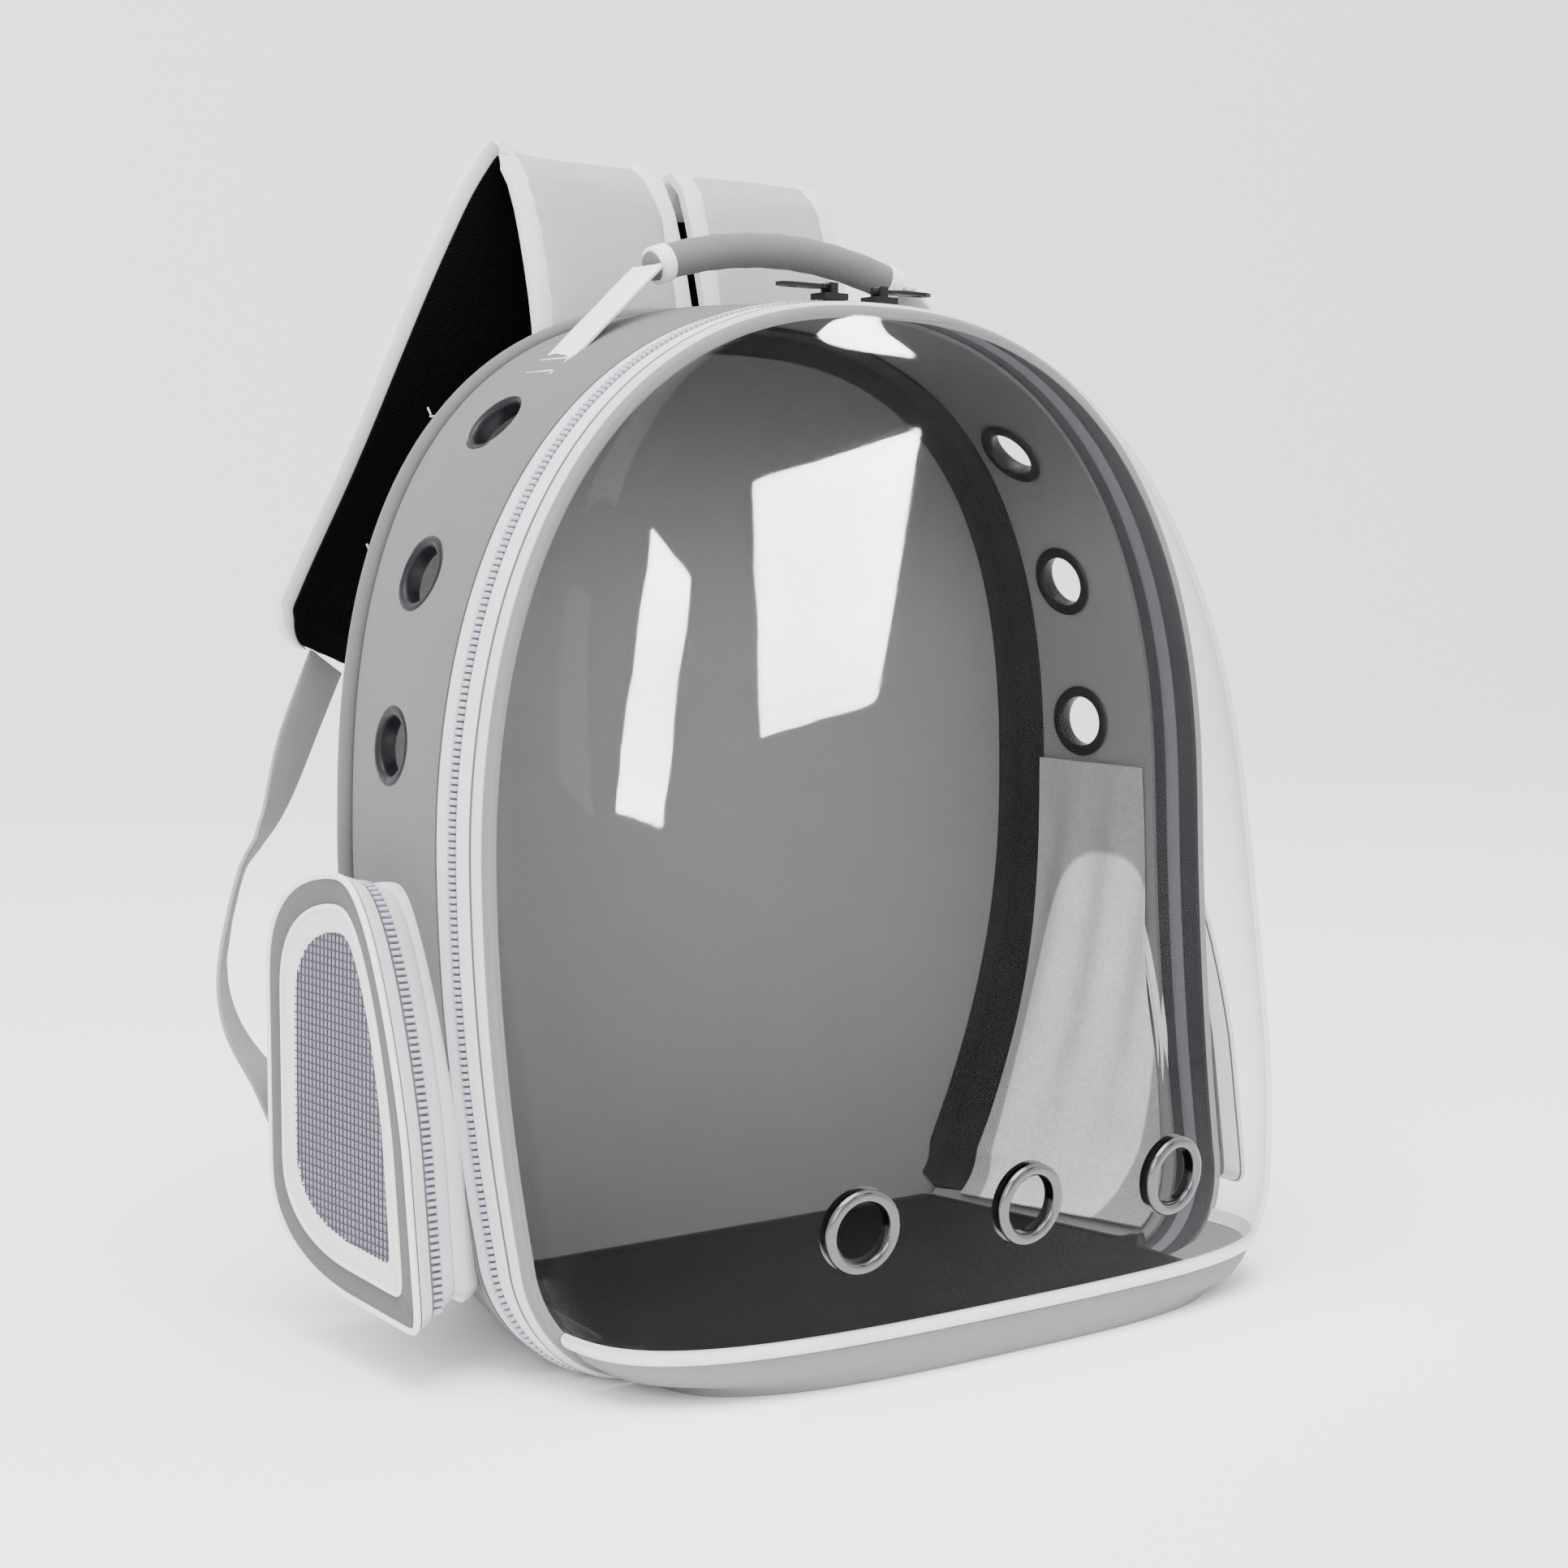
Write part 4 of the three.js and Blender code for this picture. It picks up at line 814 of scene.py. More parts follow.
# %% Door strips
def door_strip(name, forward, depths, thickness, materials):
    """A strip of the zip or of the door's edge, from its stops forward of the seam."""
    forward = np.asarray(forward, float)
    outer = door_grid(forward, np.asarray(depths, float)[None])
    inner = door_grid(forward, np.asarray(depths, float)[None] + thickness)
    return shell(name, outer, inner, materials)


def edge_round(stops, amount):
    """Depths that turn a strip's two edges under."""
    stops = np.asarray(stops, float)
    t = (stops - stops[0]) / (stops[-1] - stops[0])
    return amount * np.maximum(0, np.abs(2 * t - 1) - 0.72) ** 2 / 0.0784


body_stops = np.linspace(0.0003, 0.0085, 9)
door_stops = np.linspace(0.0138, 0.0220, 9)
tape_body = door_strip("zip_tape_body_weave", body_stops, edge_round(body_stops, 0.0003), 0.0012,
                       [outer_tape_paint, inner_tape_shade_paint])
tape_door = door_strip("zip_tape_door_weave", door_stops, edge_round(door_stops, 0.0003), 0.0012,
                       [white_tape, plum_shade_tape])
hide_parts("zip_tape_body")
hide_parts("zip_tape_door")
# The coil bed takes the lavender painted shade.
under = door_strip("zip_coil_bed", np.linspace(0.0086, 0.0137, 5), [0.0009] * 5, 0.0008,
                   [lavender_shade_tape, lavender_shade_tape])
edge_stops = np.array([0.0223, 0.0232, 0.0238, 0.0255, 0.0272, 0.0279, 0.0285, 0.0291, 0.0295])
edge_depths = np.array([0.0003, 0, 0.0002, -0.0003, -0.0002, 0.0001, -0.0002, 0.0001, 0.0008])
door_band = door_strip("door_edge_band", edge_stops, edge_depths, 0.0023, [door_edge_paint,
                                                                           plum_shade_tape])
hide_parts("door_binding")
print("tapes ready")

# %% [markdown]
# ## Repeated small things
# Zip teeth, stitches and the pocket's net are the same small thing many times over. Geometry Nodes
# does this well: a cloud of points carries each copy's turn, one node puts the unit on every point,
# and the last two nodes make the copies real and give them their material. Copying objects in a
# loop would leave hundreds of objects to keep track of.

# %% Scatter with Geometry Nodes
def modifier_group(name, **sockets):
    """A Geometry Nodes group: its tree, its inputs and their identifiers; sockets say each kind."""
    tree = bpy.data.node_groups.new(name, "GeometryNodeTree")
    tree.is_modifier = True
    for label, kind in {"Geometry": "Geometry", **sockets}.items():
        tree.interface.new_socket(label.replace("_", " "), in_out="INPUT",
                                  socket_type="NodeSocket" + kind)
    tree.interface.new_socket("Geometry", in_out="OUTPUT", socket_type="NodeSocketGeometry")
    keys = {item.name: item.identifier for item in tree.interface.items_tree
            if item.in_out == "INPUT"}
    return tree, tree.nodes.new("NodeGroupInput").outputs, keys


REPEAT, given, SOCKET = modifier_group("repeat_unit", Unit="Object", Unit_Scale="Float",
                                       Paint="Material")
unit = add(REPEAT, "GeometryNodeObjectInfo", Object=given["Unit"])
turn = add(REPEAT, "GeometryNodeInputNamedAttribute", {"data_type": "FLOAT_VECTOR"}, Name="turn")
placed = add(REPEAT, "GeometryNodeInstanceOnPoints", Points=given["Geometry"],
             Instance=unit.outputs["Geometry"], Rotation=turn.outputs["Attribute"],
             Scale=given["Unit Scale"])
real = add(REPEAT, "GeometryNodeRealizeInstances", Geometry=placed.outputs["Instances"])
paint = add(REPEAT, "GeometryNodeSetMaterial", Geometry=real.outputs["Geometry"],
            Material=given["Paint"])
add(REPEAT, "NodeGroupOutput", Geometry=paint.outputs["Geometry"])


def repeat(name, unit, places, alongs, ups, material, body="carrier"):
    """Copies of unit: its X follows along, its Z follows up."""
    mesh = bpy.data.meshes.new(name)
    mesh.from_pydata([tuple(p) for p in places], [], [])
    turns = []
    for along, up in zip(alongs, ups):
        x = np.asarray(along, float) / np.linalg.norm(along)
        z = np.asarray(up, float) - x * np.dot(up, x)
        z /= np.linalg.norm(z)
        turns.extend(Matrix(np.stack([x, np.cross(z, x), z], 1).tolist()).to_euler())
    mesh.attributes.new("turn", "FLOAT_VECTOR",
                        "POINT").data.foreach_set("vector", np.asarray(turns, np.float32))
    made = bpy.data.objects.new(name, mesh)
    bpy.context.scene.collection.objects.link(made)
    modifier = made.modifiers.new("repeat", "NODES")
    modifier.node_group = REPEAT
    modifier[SOCKET["Unit"]] = unit
    modifier[SOCKET["Unit Scale"]] = 1.0
    modifier[SOCKET["Paint"]] = material
    result = applied(made)
    result.materials.clear()
    result.materials.append(material)
    result.polygons.foreach_set("use_smooth", [True] * len(result.polygons))
    result.set_sharp_from_angle(angle=math.radians(40))
    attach(made, body)
    return made


def rounded_box(name, size, bevel):
    """A small box with rounded edges, used as the unit of a repeat and hidden afterwards."""
    built = bmesh.new()
    bmesh.ops.create_cube(built, size=1)
    bmesh.ops.scale(built, vec=size, verts=built.verts)
    bmesh.ops.bevel(built, geom=list(built.edges), offset=bevel, segments=1, profile=0.5,
                    affect="EDGES")
    mesh = bpy.data.meshes.new(name)
    built.to_mesh(mesh)
    built.free()
    return bpy.data.objects.new(name, mesh)


def spaced(path, pitch, closed=False):
    """Points at an even pitch along a path, with the path's direction at each."""
    path = np.asarray(path, float)
    if closed:
        path = np.concatenate([path, path[:1]])
    length = run_length(path[:, :3])
    at = np.arange(pitch / 2, length[-1], pitch)
    spot = lambda d: np.stack([np.interp(d, length, path[:, k]) for k in range(path.shape[1])], 1)
    return spot(at), spot(np.minimum(at + 1e-4, length[-1])) - spot(at - 1e-4)


tooth = rounded_box("tooth_unit", (0.00165, 0.0047, 0.0024), 0.0004)
stitch = rounded_box("stitch_unit", (0.0034, 0.0008, 0.0007), 0.0002)
mid = door_grid([0.01115], 0.0003)[:, 0]
out = np.stack([-front_normal[:, 0], np.zeros(STATIONS), -front_normal[:, 1]], 1)
out[0] = out[1]
out[-1] = out[-2]
both_lines, direction = spaced(np.concatenate([mid, out], 1), 0.0024)
teeth = repeat("zip_teeth_row", tooth, both_lines[:, :3], direction[:, :3], both_lines[:, 3:],
               teeth_plastic)
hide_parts("zip_teeth")
print("teeth:", len(both_lines), "copies,", len(teeth.data.polygons), "faces")

# %% [markdown]
# ## The clear bulge
# The clear front is drawn as rows of plan curves, one for each height, like the ribs of a boat. The
# points of each row are spaced by length, so the mesh stays even where the curve turns sharply at
# the sides. The sheet has real thickness: a second layer, moved in along the normals, so that its
# edges and its holes catch the light.

# %% Clear bulge
def grid_normals(points):
    """Unit normals of a grid, by differences."""
    du = np.gradient(points, axis=0)
    dv = np.gradient(points, axis=1)
    normal = np.cross(du, dv)
    return normal / np.maximum(np.linalg.norm(normal, axis=2, keepdims=True), 1e-12)


BULGE_ROWS, BULGE_COLUMNS, BULGE_FOOT, BULGE_TOP = 84, 113, 0.0193, 0.3704
rise = np.sin(np.linspace(0, 1, BULGE_ROWS) * math.pi / 2) ** 0.9
outer_bubble = front_rows(BULGE_FOOT + (BULGE_TOP - BULGE_FOOT) * rise, columns=BULGE_COLUMNS)
normals = grid_normals(outer_bubble)
if normals[20, BULGE_COLUMNS // 2, 1] > 0:
    normals = -normals
inner_bubble = outer_bubble - normals * 0.002
inner_bubble[..., 2] = np.clip(inner_bubble[..., 2], BULGE_FOOT, BULGE_TOP)
bubble = shell("bubble_sheet", outer_bubble, inner_bubble, [clear_sheet], sharp=60)
cut(bubble, [tool_cylinder(*eyelets[name], HOLE_RADIUS, HOLE_REACH) for name in front_names])
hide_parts("bubble")

mirrors = bpy.data.collections.new("mirrors_the_panels")
mirrors.objects.link(bubble)


PICTURE, PANEL_STEPS = 1932, 9


def mirrored_panel(name, corners, strength, distance=1.7):
    """A lamp panel placed where the bulge mirrors it to the camera.

    The corners say where its reflection is to be seen, in pixels of a picture PICTURE wide.
    """
    columns = BULGE_COLUMNS
    flat_points, flat_normals = outer_bubble.reshape(-1, 3), normals.reshape(-1, 3)
    quads = [(i * columns + j, (i + 1) * columns + j, (i + 1) * columns + j + 1,
              i * columns + j + 1)
             for i in range(BULGE_ROWS - 1) for j in range(columns - 1)]
    hit_tree = BVHTree.FromPolygons([tuple(p) for p in flat_points], quads)
    turn = camera.rotation_quaternion.to_matrix()
    lens = camera.data
    c = np.array(corners, float)
    spots = []
    for v in np.linspace(0, 1, PANEL_STEPS):
        for u in np.linspace(0, 1, PANEL_STEPS):
            x, y = (c[0] * (1 - u) + c[1] * u) * (1 - v) + (c[3] * (1 - u) + c[2] * u) * v
            right = (x / PICTURE - 0.5 + lens.shift_x) * lens.sensor_width / lens.lens
            above = (0.5 - y / PICTURE + lens.shift_y) * lens.sensor_width / lens.lens
            ray = turn @ Vector((right, above, -1)).normalized()
            place = hit_tree.ray_cast(camera.location, ray)[0]
            gap = np.linalg.norm(flat_points - np.array(place), axis=1)
            near = np.argsort(gap)[:6]
            normal = Vector((flat_normals[near] / (gap[near, None] + 1e-4)).sum(0)).normalized()
            away = ray - 2 * ray.dot(normal) * normal
            far = distance if away.z > -0.02 else min(distance, (place.z - 0.03) / -away.z)
            spots.append(place + away * far)
    mesh = bpy.data.meshes.new(name)
    n = PANEL_STEPS
    mesh.from_pydata([tuple(p) for p in spots], [],
                     [(n * i + j, n * i + j + 1, n * (i + 1) + j + 1, n * (i + 1) + j)
                      for i in range(n - 1) for j in range(n - 1)])
    panel = bpy.data.objects.new(name, mesh)
    bpy.context.scene.collection.objects.link(panel)
    glow = bpy.data.materials.new(name + "_glow")
    glow.use_nodes = True
    glow.node_tree.nodes.clear()
    light = add(glow.node_tree, "ShaderNodeEmission", Color=(1, 1, 1, 1), Strength=strength)
    sink = glow.node_tree.nodes.new("ShaderNodeOutputMaterial")
    glow.node_tree.links.new(light.outputs[0], sink.inputs[0])
    mesh.materials.append(glow)
    for rays in ("camera", "diffuse", "shadow", "transmission"):
        setattr(panel, "visible_" + rays, False)
    panel.light_linking.receiver_collection = mirrors
    panel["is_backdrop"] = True
    print(name, "centre", [round(v, 2) for v in spots[len(spots) // 2]])


mirrored_panel("window_left", [(805, 652), (853, 712), (818, 1020), (758, 1000)], 900.0)
mirrored_panel("window_right", [(930, 592), (1135, 528), (1083, 865), (940, 908)], 900.0)



def front_band(name, heights, dips, thickness, material):
    """A padded band along the foot of the clear front, from rows of its plan curve."""
    rows = front_rows(heights, columns=BULGE_COLUMNS)
    out = grid_normals(rows)
    out *= 1 if out[3, BULGE_COLUMNS // 2, 1] < 0 else -1
    return shell(name, rows - out * np.array(dips)[:, None, None], rows - out * thickness,
                 [material])


strip = front_band("front_strip_cloth", (0.0, 0.0012, 0.0035, 0.007, 0.0105, 0.0128, 0.014),
                   (0.0010, 0.0003, -0.0004, -0.0008, -0.0004, 0.0003, 0.0010), 0.0026, strip_cloth)
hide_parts("front_strip")
sill = front_band("door_sill_piping", (0.0143, 0.0146, 0.0155, 0.01665, 0.0178, 0.0187, 0.0190),
                  (0.0012, 0.0004, -0.0003, -0.0006, -0.0003, 0.0004, 0.0012), 0.0028,
                  piping_plastic)
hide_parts("door_sill")
print("bulge:", len(bubble.data.polygons), "faces")

# %% [markdown]
# ## Eyelets
# Each air hole is lined with a two-part metal ring: a rolled flange outside, a flat washer inside
# and a neck through the wall. All three are one closed section turned about the hole's axis.

# %% Eyelet rings
def flange(wall, inner=0.0105, outer=0.015, lift=0.0021):
    """Half section of a ring: rounded flange outside, neck, thin washer inside."""
    a = np.linspace(math.pi, 0, 9)
    middle, reach = (inner + outer) / 2, (outer - inner) / 2
    top = [(middle + reach * math.cos(v), wall / 2 + lift * math.sin(v)) for v in a]
    b = np.linspace(0, -math.pi, 7)
    low = [(middle + reach * math.cos(v), -wall / 2 - 0.0011 + 0.0008 * math.sin(v)) for v in b]
    neck = [(0.0120, wall / 2), (0.0120, -wall / 2 - 0.0003)]
    return top + neck + low


for name, (centre, axis) in eyelets.items():
    bubble_one = name.startswith("bubble")
    wall, metal = (0.0024, chrome) if bubble_one else (0.0036, plum_metal)
    ring = turned(name + "_ring", flange(wall), centre, axis, [metal])
    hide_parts(name)
print(len(eyelets), "eyelets")

# %% [markdown]
# ## The side pockets
# Each pocket stands out from the wall on a puffed white band, with its own small zip round it. Its
# front is a grey frame with a white piped edge, a pale border inside that, and a net that lets air
# through. Every strip is the pocket's outline drawn at two distances from the wall.

# %% Pocket strips
def pocket_strip(name, side, stops, thickness, materials):
    """A closed ribbon round a pocket; stops are (lift, inset), and a lift of None is the wall."""
    outer, inner = [], []
    for lift, inset in stops:
        ring = pocket_ring(side, 0.0 if lift is None else lift, inset, on_wall=lift is None)
        outer.append(ring)
        inner.append(inner_line(ring, thickness))
    outer, inner = np.stack(outer, 1), np.stack(inner, 1)
    if side > 0:
        outer, inner = outer[::-1], inner[::-1]
    return shell(name, outer, inner, materials, closed=True)


def pocket_sheet(name, side, outer, inner, materials):
    """A closed ribbon between two rows of (lift, inset) stops."""
    grids = [np.stack([pocket_ring(side, *stop) for stop in rows], 1) for rows in (outer, inner)]
    if side > 0:
        grids = [grid[::-1] for grid in grids]
    return shell(name, *grids, materials, closed=True)


def inside_loop(polygon, p):
    """Whether a point lies inside a closed loop, by counting the sides to its right."""
    a, b = polygon, np.roll(polygon, -1, 0)
    level = (a[:, 1] > p[1]) != (b[:, 1] > p[1])
    crossing = (b[:, 0] - a[:, 0]) * (p[1] - a[:, 1]) / (b[:, 1] - a[:, 1] + 1e-15) + a[:, 0]
    return (level & (p[0] < crossing)).sum() % 2 == 1


puff_cloth = cloth("puffed_white_cloth", (0.62, 0.62, 0.64), mottle=0.05)
tooth_small = rounded_box("small_tooth_unit", (0.0015, 0.0042, 0.0022), 0.00035)
net_paint = cloth("plum_net_strands", (0.06, 0.05, 0.09), pitch=0.0008, relief=0.00005, mottle=0.2,
                  coordinates="Object")
net_back = moulded("pale_net_film", (0.42, 0.41, 0.45), 0.12, grain=0.06, scale=60.0, relief=0.0004,
                   alpha=0.75)
STRANDS, given, STRAND_SOCKET = modifier_group("net_strands", Strand_Radius="Float")
lines = add(STRANDS, "GeometryNodeMeshToCurve", Mesh=given["Geometry"])
profile = add(STRANDS, "GeometryNodeCurvePrimitiveCircle", Resolution=4,
              Radius=given["Strand Radius"])
solid = add(STRANDS, "GeometryNodeCurveToMesh", Curve=lines.outputs["Curve"],
            i1=profile.outputs["Curve"])
painted = add(STRANDS, "GeometryNodeSetMaterial", Geometry=solid.outputs["Mesh"],
              Material=net_paint)
add(STRANDS, "NodeGroupOutput", Geometry=painted.outputs["Geometry"])
FILM_STEPS = (1, 0.85, 0.6, 0.3, 0.03)
NET_PITCH, STRAND_RADIUS = 0.0028, 0.0003
for side, word in ((-1, "left"), (1, "right")):
    stops = [(None, -0.001), (None, 0.0008), (-0.002, -0.0025), (0.0015, -0.0036),
             (0.0045, -0.0030), (0.0068, -0.0008), (0.008, 0.0004)]
    band = pocket_strip("pocket_%s_puffed_band" % word, side, stops, 0.0024,
                        [puff_cloth, puff_cloth])
    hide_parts("pocket_%s_band" % word)
    stops = zip(np.linspace(0.0083, 0.015, 5), (0.0004, 0, 0, 0, 0.0003))
    inner_tape = pocket_strip("pocket_%s_tape_inner" % word, side, stops, 0.0014, [white_tape])
    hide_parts("pocket_%s_zip_tape_inner" % word)
    stops = zip(np.linspace(0.0203, 0.027, 5), (0.0003, 0, 0, 0, 0.0002))
    outer_tape = pocket_strip("pocket_%s_tape_outer" % word, side, stops, 0.0014,
                              [outer_tape_paint, plum_shade_tape])
    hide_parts("pocket_%s_zip_tape_outer" % word)
    # The pocket's coil bed takes the lavender painted shade too.
    bed = pocket_strip("pocket_%s_coil_bed" % word, side, [(0.0150, 0.0012), (0.0203, 0.0012)],
                       0.001, [lavender_shade_tape])
    mid_ring = inner_line(pocket_ring(side, 0.01765), 0.0008)
    wide_ring = pocket_ring(side, 0.01765, -0.003)
    places, along = spaced(np.concatenate([mid_ring, wide_ring], 1), 0.0024, closed=True)
    row = repeat("pocket_%s_teeth_row" % word, tooth_small, places[:, :3], along[:, :3],
                 places[:, 3:] - places[:, :3], teeth_plastic)
    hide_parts("pocket_%s_zip_teeth" % word)
    plate_out = [(0.0273, 0.0004), (0.0276, -0.0002), (0.0283, 0.0), (0.0291, 0.0010),
                 (0.0293, 0.0022), (0.0290, 0.0102), (0.0286, 0.0109)]
    plate_low = [(0.0273, inset) for inset in (0.0008, 0.0009, 0.0010, 0.0016, 0.0028, 0.0102,
                                               0.0109)]
    frame_piece = pocket_sheet("pocket_%s_frame_cloth" % word, side, plate_out, plate_low,
                               [frame_cloth, plum_shade_tape])
    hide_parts("pocket_%s_frame" % word)
    border_out = [(0.0284, 0.0113), (0.0290, 0.0118), (0.0292, 0.0140), (0.0291, 0.0180),
                  (0.0288, 0.0198), (0.0284, 0.0202)]
    border_low = [(0.0274, inset) for _, inset in border_out]
    border = pocket_sheet("pocket_%s_border_cloth" % word, side, border_out, border_low,
                          [pale_border])
    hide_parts("pocket_%s_border" % word)
    edge_piping = tube("pocket_%s_edge_piping" % word, pocket_ring(side, 0.0288, 0.0004), 0.0013,
                       [piping_plastic], closed=True, sides=8)
    inner_piping = tube("pocket_%s_inner_piping" % word, pocket_ring(side, 0.0292, 0.0111), 0.0009,
                        [piping_plastic], closed=True, sides=8)
    pane_ring = pocket_ring(side, 0.0279, 0.0198)
    centre = pane_ring.mean(0)
    film_rings = []
    for level in (0.0, 0.0004):
        rows = [centre + (pane_ring - centre) * s for s in FILM_STEPS]
        rows = [r - [side * level, 0, 0] + [side * 0.0003 * (1 - s * s), 0, 0]
                for r, s in zip(rows, FILM_STEPS)]
        film_rings.append(rows)
    film = sweep("pocket_%s_net_film" % word, film_rings[0][::-1] + film_rings[1], [net_back])
    low, high = pane_ring[:, 1:].min(0) - 0.0035, pane_ring[:, 1:].max(0) + 0.0035
    polygon = pocket_ring(side, 0.0279, 0.0165)[:, 1:]
    verts, edges, index = [], [], {}
    for i in range(int((high[0] - low[0]) / NET_PITCH) + 2):
        for j in range(int((high[1] - low[1]) / NET_PITCH) + 2):
            p = (low[0] + i * NET_PITCH, low[1] + j * NET_PITCH)
            if inside_loop(polygon, p):
                index[i, j] = len(verts)
                rise = 1 - ((p[1] - centre[2]) / (high[1] - centre[2])) ** 2
                verts.append((centre[0] + side * (0.0004 + 0.0004 * rise), *p))
    for (i, j), k in index.items():
        for di, dj in ((0, 1), (1, 0)):
            other = index.get((i + di, j + dj))
            if other is not None:
                edges.append((k, other))
    net_mesh = bpy.data.meshes.new("net")
    net_mesh.from_pydata(verts, edges, [])
    net = bpy.data.objects.new("pocket_%s_net_strands" % word, net_mesh)
    bpy.context.scene.collection.objects.link(net)
    modifier = net.modifiers.new("strands", "NODES")
    modifier.node_group = STRANDS
    modifier[STRAND_SOCKET["Strand Radius"]] = STRAND_RADIUS
    solid_net = applied(net)
    solid_net.materials.clear()
    solid_net.materials.append(net_paint)
    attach(net, "carrier")
    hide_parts("pocket_%s_net" % word)
    print("pocket", word, ":", len(places), "teeth,", len(edges), "strands")

# %% [markdown]
# ## The sheer liner behind the pockets
# Inside the cabin a fine pale mesh hangs over the opening behind each pocket. It is so thin that
# light from the pocket comes through it. It is one gently folded sheet. An arch over the opening is
# paler and grainier; its paleness is painted light, the glow of light coming through from the pocket.

# %% Liners
sheer = cloth("sheer_liner_mesh", (0.92, 0.92, 0.93), pitch=0.0016, relief=0.0003, mottle=0.2,
              alpha=0.8)
tree = sheer.node_tree
shader = tree.nodes["Principled BSDF"]
where = add(tree, "ShaderNodeTexCoord").outputs["Object"]
spot = add(tree, "ShaderNodeSeparateXYZ", Vector=where)
parts = []
for axis, middle, reach in (("Y", 0.022, 0.031), ("Z", 0.070, 0.088)):
    away = calc(tree, "DIVIDE", calc(tree, "SUBTRACT", spot.outputs[axis], middle), reach)
    parts.append(calc(tree, "POWER", calc(tree, "ABSOLUTE", away), 2.8))
# Painted light: inside the arch the sheet stays bright, a painted glow of the light from the pocket;
# outside it the colour is darkened to 0.42.
arch = span(tree, calc(tree, "ADD", *parts), 0.96, 1.04, 1.0, 0.42)
grain = add(tree, "ShaderNodeTexNoise", Vector=where, Scale=520.0, Detail=2.0)
speckle = span(tree, grain.outputs["Fac"], 0.35, 0.65, 0.86, 1.0)
plain_tone = shader.inputs["Base Color"].links[0].from_socket
wire(tree, shader, Base_Color=mix(tree, 1.0, plain_tone, calc(tree, "MULTIPLY", arch, speckle),
                                  "MULTIPLY"))
LINER_TOP = 0.196
for word, rows in (("left", slice(6, 92)), ("right", slice(STATIONS - 92, STATIONS - 6))):
    z = front_line[rows][:, 1]
    rows = np.arange(rows.start, rows.stop)[z < LINER_TOP]
    base_seam = seam_y(front_line[rows][:, 1])
    across = np.linspace(0, 1, 24)[None]
    columns = (base_seam[:, None] + 0.003) * (1 - across) + 0.0585 * across
    share = (columns - base_seam[:, None]) / (SIDE_DEPTH - base_seam[:, None])
    line = between(front_line[rows], back_line[rows], share[..., None])
    normal = between(front_normal[rows], back_normal[rows], share[..., None])
    normal /= np.linalg.norm(normal, axis=2, keepdims=True)
    fold = 0.0022 + 0.0016 * np.sin(columns * 260 + line[..., 1]
                                    * 22) * np.sin(math.pi * (line[..., 1] - 0.01) / 0.19)
    sheets = []
    for extra in (0.0, 0.0008):
        flat = line + normal * (SIDE_WALL + 0.0004 + fold + extra)[..., None]
        sheets.append(np.stack([flat[..., 0], columns, flat[..., 1]], 2))
    liner = shell("window_liner_%s_sheer" % word, sheets[0], sheets[1], [sheer])
    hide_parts("window_liner_%s" % word)

# %% [markdown]
# ## The carry handle
# Two ends of white webbing rise from the top of the walls to a rolled cloth grip. The webbing is a
# ribbon swept along its path; the grip is a soft tube with a closing seam along its underside.

# %% Handle
def smooth_path(knots, count=60):
    """An even, rounded path through knots (Catmull-Rom)."""
    knots = np.asarray(knots, float)
    padded = np.concatenate([[2 * knots[0] - knots[1]], knots, [2 * knots[-1] - knots[-2]]])
    out = []
    for i in range(len(knots) - 1):
        p0, p1, p2, p3 = padded[i:i + 4]
        t = np.linspace(0, 1, 24, endpoint=i == len(knots) - 2)[:, None]
        out.append(0.5 * (2 * p1 + (p2 - p0) * t + (2 * p0 - 5 * p1 + 4 * p2 - p3) * t ** 2
                          + (3 * p1 - p0 - 3 * p2 + p3) * t ** 3))
    return resampled(np.concatenate(out), count)


def ribbon(name, path, across, width, thickness, materials, ribs=0.0, **options):
    """A flat strap along a path; across gives its width direction at every point."""
    path = np.asarray(path, float)
    along = np.gradient(path, axis=0)
    along /= np.linalg.norm(along, axis=1)[:, None]
    across = np.asarray(across, float)
    across = across - along * (across * along).sum(1)[:, None]
    across /= np.linalg.norm(across, axis=1)[:, None]
    up = np.cross(along, across)
    section = [(-.5, -.2), (-.46, -.5), (-.25, -.42), (0, -.46), (.25, -.42), (.46, -.5), (.5, -.2),
               (.5, .2), (.46, .5),
               (.25, .42), (0, .46), (-.25, .42), (-.46, .5), (-.5, .2)]
    rings = [p + np.array([a * width[i] * s[0] + u * thickness * s[1] for s in section])
             for i, (p, a, u) in enumerate(zip(path, across, up))]
    return sweep(name, rings, materials, sharp=50, **options)


handle_knots = np.array([(-.1098, .3473), (-.1070, .3493), (-.1042, .3514), (-.1012, .3538),
                         (-.0969, .3576), (-.0923, .3619),
                         (-.0872, .3667), (-.0791, .3740), (-.0702, .3824), (-.0612, .3906)])
HANDLE_Y, GRIP_HALF, GRIP_TOP, GRIP_SAG = 0.037, 0.0597, 0.401, 0.010
for sign, word in ((1, "left"), (-1, "right")):
    knots = np.stack([handle_knots[:, 0] * sign, np.full(10, HANDLE_Y), handle_knots[:, 1]], 1)
    path = smooth_path(knots, 40)
    webbing = ribbon("handle_webbing_%s_weave" % word, path, np.tile((0.0, 1, 0), (40, 1)),
                     np.full(40, 0.020), 0.0021, [white_webbing])
    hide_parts("handle_webbing_%s" % word)
    spots, ways, tops = [], [], []
    for i in (1, 6):
        step = (path[i + 1] - path[i - 1]) / np.linalg.norm(path[i + 1] - path[i - 1])
        rise = np.array([-step[2], 0, step[0]]) * (1 if step[0] > 0 else -1)
        for k in range(5):
            spots.append(path[i] + np.array([0, -0.0075 + 0.00375 * k, 0]) + rise * 0.0013)
            ways.append((0, 1, 0))
            tops.append(rise)
    seam = repeat("handle_stitches_%s" % word, stitch, spots, ways, tops, thread_paint)
s = np.linspace(-1, 1, 61)
